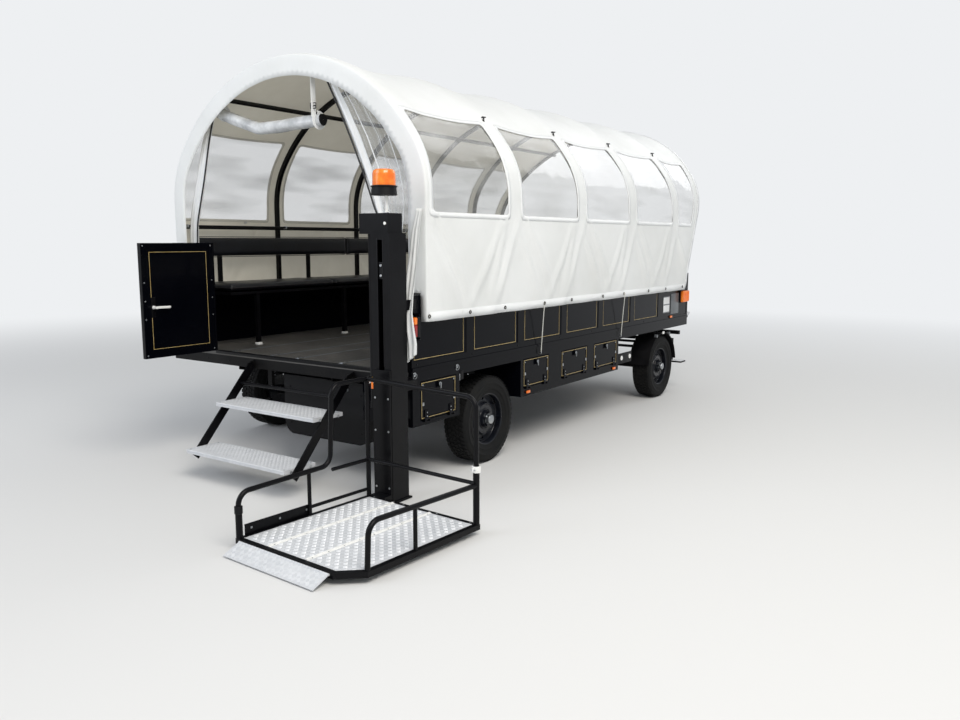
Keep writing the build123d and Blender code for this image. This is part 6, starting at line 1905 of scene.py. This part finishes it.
@dataclass
class Wheels:
    """Four road wheels: tyres with a block tread, bands and beads, studs, hub caps and valves."""

    track: float = 1.077  # X of the wheels' middles
    rear: float = 0.804  # Y of the rear axle
    front: float = 3.93  # Y of the front axle
    radius: float = 0.315  # tyre radius, and the height of the axles
    width: float = 0.186  # tyre width
    rim: float = 0.184  # rim radius
    blocks: int = 54  # tread blocks round the tyre
    # across, ahead, width, length, skew and outer drop of each row of blocks
    rows: tuple[tuple[float, ...], ...] = (
        (-0.066, 0.0, 0.03, 0.028, 0.25, 0.0022), (-0.0335, 0.012, 0.026, 0.024, 0.45, 0.0),
        (0.0, 0.0, 0.028, 0.026, 0.0, 0.0), (0.0335, 0.012, 0.026, 0.024, -0.45, 0.0),
        (0.066, 0.0, 0.03, 0.028, -0.25, 0.0022))

    def build(self) -> None:
        """Make all four wheels."""
        for end, y in (("rear", self.rear), ("front", self.front)):
            for side in Side:
                word, out = f"{end}_{side.word}", side.value
                hub = Vector((out * self.track, y, self.radius))
                self._tyre(word, hub, out)
                self._tread(word, hub)
                self._hub(word, hub, out)

    def _tyre(self, word: str, hub: Vector, out: int) -> None:
        """Tyre carcass with rounded shoulders, a rim guard band and two fine rings.

        Args:
            word: The wheel's place, such as rear_left.
            hub: Its middle.
            out: Direction of its outer face along X.
        """
        half, r = self.width / 2, self.radius
        side = [(r - deep, edge - half) for deep, edge in (
            (0.006, 0.03), (0.0085, 0.016), (0.018, 0.006), (0.034, 0.001), (0.05, -0.0002),
            (0.052, -0.0022),
            (0.056, -0.0022), (0.058, 0), (0.078, 0.0015), (0.09, 0.004), (0.0915, 0.0022), (0.0945, 0.0024),
            (0.096, 0.0055), (0.112, 0.011), (0.122, 0.013), (0.1295, 0.0165))]
        side += [(self.rim + 0.0012, 0.022 - half), (self.rim - 0.0008, 0.03 - half)]
        crown = [(r - 0.0055, -0.03), (r - 0.0055, 0.03)]
        shape = Shape(TYRE_RUBBER)
        shape.lathe([*side[::-1], *crown, *((a, -b) for a, b in side)], hub, (out, 0, 0), 96)
        shape.piece(f"tyre_{word}_carcass", f"wheel_{word}", "tyre_black", f"tyre_{word}", 50)

    def _tread(self, word: str, hub: Vector) -> None:
        """Tread blocks in five rows, set round the tyre."""
        form = Shape()
        for x, ahead, wide, long, skew, drop in self.rows:
            corners = [Vector((x + u * wide / 2, ahead + (v * long + u * skew * wide) / 2, 0))
                       for u, v in ((-1, -1), (1, -1), (1, 1), (-1, 1))]
            middle = sum(corners, Vector()) / 4
            tops = [corner.lerp(middle, 0.09) for corner in corners]
            form.bump([(c.x, c.y, -0.0075) for c in corners],
                      [(c.x, c.y, -drop * (1.0 if abs(c.x) > abs(x) else 0.35)) for c in tops])
        spots = []
        for angle in (tau * (k + 0.5) / self.blocks for k in range(self.blocks)):
            facing = Vector((0, cos(angle), sin(angle)))
            spots.append(Spot(tuple(hub + facing * self.radius), tuple(facing),
                              spin_to(facing, Vector((1, 0, 0)))))
        scatter(f"tread_{word}", f"wheel_{word}", TYRE_RUBBER, form, spots)

    def _hub(self, word: str, hub: Vector, out: int) -> None:
        """Rim edge, rings on the dish, hub cap, studs and valve.

        Args:
            word: The wheel's place, such as rear_left.
            hub: Its middle.
            out: Direction of its outer face along X.
        """
        shape = Shape(RIM_ENAMEL, ZINC, BLACK_PLASTIC)
        turned = [(RIM_ENAMEL, hub, 72, [(self.rim - 0.008, 0.066), (self.rim - 0.0055, 0.074),
                                         (self.rim + 0.001, 0.0775), (self.rim + 0.0035, 0.0755),
                                         (self.rim + 0.0005, 0.071), (self.rim - 0.0035, 0.064)])]
        bead = ((-0.0042, -0.001), (-0.0022, 0.0024), (0, 0.0034), (0.0022, 0.0024), (0.0042, -0.001))
        turned += [(RIM_ENAMEL, hub, 60, [(radius + a, height + b) for a, b in bead]) for radius, height in (
            (0.1705, 0.031), (0.158, 0.0262), (0.1235, 0.0375), (0.108, 0.0535), (0.072, 0.0545))]
        turned += [(ZINC, hub, 36, [(0.0335, 0.0788), (0.0345, 0.096), (0.034, 0.105), (0.031, 0.11),
                                    (0.02, 0.1126), (0.0, 0.113)]),
                   (ZINC, hub, 36, [(0.0375, 0.079), (0.0375, 0.0832), (0.0335, 0.0836)])]
        for angle in (tau * (k + 0.25) / 5 for k in range(5)):
            foot = hub + Vector((0, cos(angle), sin(angle))) * 0.0475
            turned += [(RIM_ENAMEL, foot, 16, [(0.0095, 0.0795), (0.0112, 0.0805), (0.0112, 0.083)]),
                       (RIM_ENAMEL, foot, 6,
                        [(0.0098, 0.0825), (0.0098, 0.094), (0.0082, 0.0965), (0.0, 0.0972)])]
        valve = hub + Vector((0, cos(0.6), sin(0.6))) * 0.157
        turned.append((BLACK_PLASTIC, valve, 12,
                       [(0.0042, 0.028), (0.0042, 0.05), (0.0036, 0.056), (0.0, 0.0565)]))
        for finish, foot, sides, profile in turned:
            shape.use(finish).lathe(profile, foot, (out, 0, 0), sides)
        shape.piece(f"hub_{word}", f"wheel_{word}", "rim_black")


@dataclass
class Undercarriage:
    """Small fittings of the guards, pole, pump box and front steps."""

    axle: float = 3.93  # Y of the front axle
    height: float = 0.315  # height of the axles
    pole_foot: Point = (0.0, 4.58, 0.533)  # where the pole starts
    pole_rise: float = 3.0  # the pole's rise at rest, in degrees
    pole_length: float = 2.75  # the pole's length

    def build(self) -> None:
        """Make the details of the guards, pole, pump box and front steps."""
        self._guards()
        self._pole()
        shape = Shape(BLACK_PLASTIC)
        shape.lathe([(0.018, 0), (0.022, 0.003), (0.022, 0.014), (0.017, 0.018), (0.0, 0.019)],
                    (0.62, 0.1, 0.643), UP, 24)
        for x, z in ((x, z) for x in (0.02, 0.7) for z in (0.3, 0.56)):
            shape.rod((x, -0.03, z), (x, -0.034, z), 0.006, 12)
        shape.piece("pump_fittings", "wagon", "pump_black")
        self._step_plates()

    def _guards(self) -> None:
        """Rolled edges, a white clamp and two grey round fittings on each front guard."""
        shape = Shape(BLACK_PLASTIC, WHITE_CAP, GREY_SHEET)
        y, z, reach = self.axle, self.height, 0.3468
        turns = [radians(28 + 124 * k / 24) for k in range(25)]
        for out in (-1, 1):
            shape.use(BLACK_PLASTIC)
            for x in (0.972, 1.183):
                shape.tube([(out * x, y + reach * cos(a), z + reach * sin(a)) for a in turns], 0.0034)
            shape.side(out, 0.0,
                       [(WHITE_CAP, 1.181, 1.189, y - 0.022, y + 0.022, z + 0.333, z + 0.359, 0.003)],
                       [(GREY_SHEET, 1.16, 1.19, y + ahead, z + 0.325, 0.017, 20)
                        for ahead in (-0.16, 0.16)])
        shape.piece("guard_fittings", "fore_carriage", "tyre_black")

    def _pole(self) -> None:
        """Bands and a nose ring on the pole."""
        shape = Shape(CHASSIS_BLACK, ZINC)
        rise = radians(self.pole_rise)
        way, start = Vector((0, cos(rise), sin(rise))), Vector(self.pole_foot)
        for reach in (0.35, 1.4, 2.45):
            shape.lathe([(0.0305, 0), (0.0335, 0.002), (0.0335, 0.03), (0.0305, 0.032)], start + way * reach,
                        way, 28)
        nose = start + way * (self.pole_length - 0.03)
        shape.use(ZINC).sweep([nose + Vector((u, 0, v - 0.045)) for u, v in oval(0.045, 0.045, 20)],
                              oval(0.005, 0.005, 8), True)
        shape.piece("pole_bands", "pole", "axle_black")

    @staticmethod
    def _step_plates() -> None:
        """Bright plates on the two front steps."""
        shape, bars = Shape(TREAD_PLATE), []
        for left in (-1.198, 1.052):
            shape.box((left, 4.402, 0.31), (left + 0.146, 4.528, 0.3125), 0.001)
            bars += chequer(Matrix.Translation((left, 4.402, 0.3125)), 0.146, 0.126, grow=0.9)
        shape.piece("front_step_plates", "fore_carriage", "tread_plate")
        scatter("front_step_chequer", "fore_carriage", TREAD_BAR, tread_bar(), bars)


# --------------------------------------------------------------------------- studio


@dataclass
class Studio:
    """Pale floor and backdrop, soft lights and the camera."""

    eye: Point = (4.459, -4.038, 1.58)  # the camera's place
    tilt_deg: float = 8.125  # how far the camera looks below the level
    turn_deg: float = 34.859  # the camera's turn about the vertical
    lens_mm: float = 31.125  # focal length on a 36 mm wide sensor
    floor_size: float = 60.0  # edge of the square floor
    floor_colour: str = "#d8d8d6"  # the floor's colour
    sky_colour: str = "#eef0f2"  # the backdrop's colour, which the floor fades to
    soft_colour: str = "#e8ecf2"  # the world's colour as a light
    aim: Point = (0.0, 1.6, 1.2)  # where the lights look
    # name, place, size, power and colour of each light
    lights: tuple[tuple[str, Point, float, float, str], ...] = (
        ("key", (7.0, -3.0, 8.5), 6.0, 800.0, "#fffaf3"),
        ("fill", (-4.5, -8.5, 5.5), 6.0, 330.0, "#eef3ff"),
        ("back", (2.0, 11.0, 7.5), 6.0, 240.0, "#ffffff"))

    def build(self) -> None:
        """Set up floor, world, lights and camera."""
        self._floor()
        self._world()
        self._lights()
        self._camera()

    def _floor(self) -> None:
        """A large pale floor that isn't part of the object and fades to the backdrop's colour."""
        mesh = bpy.data.meshes.new("studio_floor")
        h = self.floor_size / 2
        corners = [(u * h, v * h, -0.002) for u, v in ((-1, -1), (1, -1), (1, 1), (-1, 1))]
        mesh.from_pydata(corners, [], [(0, 1, 2, 3)])
        floor = linked("studio_floor", mesh)
        material = bpy.data.materials.new("studio_floor")
        tree = cleared(material)
        shader = put(tree, "ShaderNodeBsdfPrincipled",
                     {"Base Color": linear(self.floor_colour), "Roughness": 0.9,
                      "Specular IOR Level": 0.2})
        place = put(tree, "ShaderNodeTexCoord").outputs["Object"]
        away = put(tree, "ShaderNodeVectorMath", {0: place, 1: (0.0, 2.0, 0.0)}, operation="DISTANCE")
        fade = put(tree, "ShaderNodeMapRange",
                   {"Value": away.outputs["Value"], "From Min": 4.5, "From Max": 14.0},
                   interpolation_type="SMOOTHSTEP")
        sky = put(tree, "ShaderNodeEmission", {"Color": linear(self.sky_colour), "Strength": 1.0})
        blend = put(tree, "ShaderNodeMixShader", {0: fade.outputs["Result"], 1: shader.outputs["BSDF"],
                                                  2: sky.outputs[0]})
        put(tree, "ShaderNodeOutputMaterial", {"Surface": blend.outputs[0]})
        mesh.materials.append(material)

    def _world(self) -> None:
        """A pale world: white to the camera and through film, softer as a light on the object."""
        world = bpy.data.worlds.new("studio_world")
        tree = cleared(world)
        path = put(tree, "ShaderNodeLightPath").outputs
        seen = put(tree, "ShaderNodeMath", {0: path["Is Camera Ray"], 1: path["Is Transmission Ray"]},
                   operation="MAXIMUM")
        soft, white = (put(tree, "ShaderNodeBackground",
                           {"Color": linear(colour), "Strength": power}).outputs[0]
                       for colour, power in ((self.soft_colour, 0.66), (self.sky_colour, 1.0)))
        mix = put(tree, "ShaderNodeMixShader", {0: seen.outputs[0], 1: soft, 2: white})
        put(tree, "ShaderNodeOutputWorld", {"Surface": mix.outputs[0]})
        bpy.context.scene.world = world

    def _lights(self) -> None:
        """A broad key from the front right above, a weak fill from the left and one from ahead."""
        for name, place, size, power, colour in self.lights:
            data = bpy.data.lights.new(name, "AREA")
            data.size, data.energy, data.color = size, power, linear(colour)[:3]
            lamp = linked(name, data)
            lamp.location = place
            lamp.rotation_euler = (Vector(self.aim) - Vector(place)).to_track_quat("-Z", "Y").to_euler()

    def _camera(self) -> None:
        """The camera at the photograph's height and angle."""
        data = bpy.data.cameras.new("camera")
        data.lens, data.sensor_width, data.clip_end = self.lens_mm, 36.0, 200.0
        camera = linked("camera", data)
        camera.location = self.eye
        camera.rotation_euler = (radians(90 - self.tilt_deg), 0.0, radians(self.turn_deg))
        scene = bpy.context.scene
        scene.camera = camera
        scene.view_settings.view_transform = "Standard"


# --------------------------------------------------------------------------- everything


CAD_NODES: tuple[tuple[Finish, str], ...] = (
    (CHASSIS_BLACK, "chassis rear_axle fore_carriage front_axle evener pole"),
    (FLOOR_BOARD, "floor"),
    (POWDER_BLACK, "hoops bench_frames lift_mast step_frame lift_frame"),
    (TREAD_PLATE, "footboard step_treads lift_deck ramp_flap"),
    (TARPAULIN, "canopy curtain_roll"),
    (WINDOW_FILM, "window_film"),
    (BLACK_PIPING, "curtain_straps"),
    (LEATHERETTE, "seat_pads backrests driver_cushions"),
    (STAINED_PLY, "driver_seat"),
    (BLACK_PLASTIC, "pump_box beacon_base front_guards"),
    (LENS_RED, "tail_lamps"),
    (LENS_AMBER, "front_lamps side_markers beacon_dome"),
    (WHITE_CAP, "door_handle"),
    (TYRE_RUBBER, "tyre_rear_left tyre_rear_right tyre_front_left tyre_front_right"),
    (RIM_ENAMEL, "rim_rear_left rim_rear_right rim_front_left rim_front_right"),
)


def dress_cad() -> None:
    """Give every solid that stays its finish: coach paint, unless the table names another."""
    finishes = {name: finish for finish, names in CAD_NODES for name in names.split()}
    for name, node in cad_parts.items():
        node.data.materials.clear()
        node.data.materials.append(finishes.get(name, COACH_PAINT).build())


def main() -> None:
    """Build everything in order."""
    logging.basicConfig(level=logging.INFO)
    Studio().build()
    dress_cad()
    for part in (Cover(), Curtains(), Bodywork(), Lamps(), Door(), Interior(), Steps(), Lift(), Wheels(),
                 Undercarriage()):
        part.build()


if __name__ == "__main__":
    main()
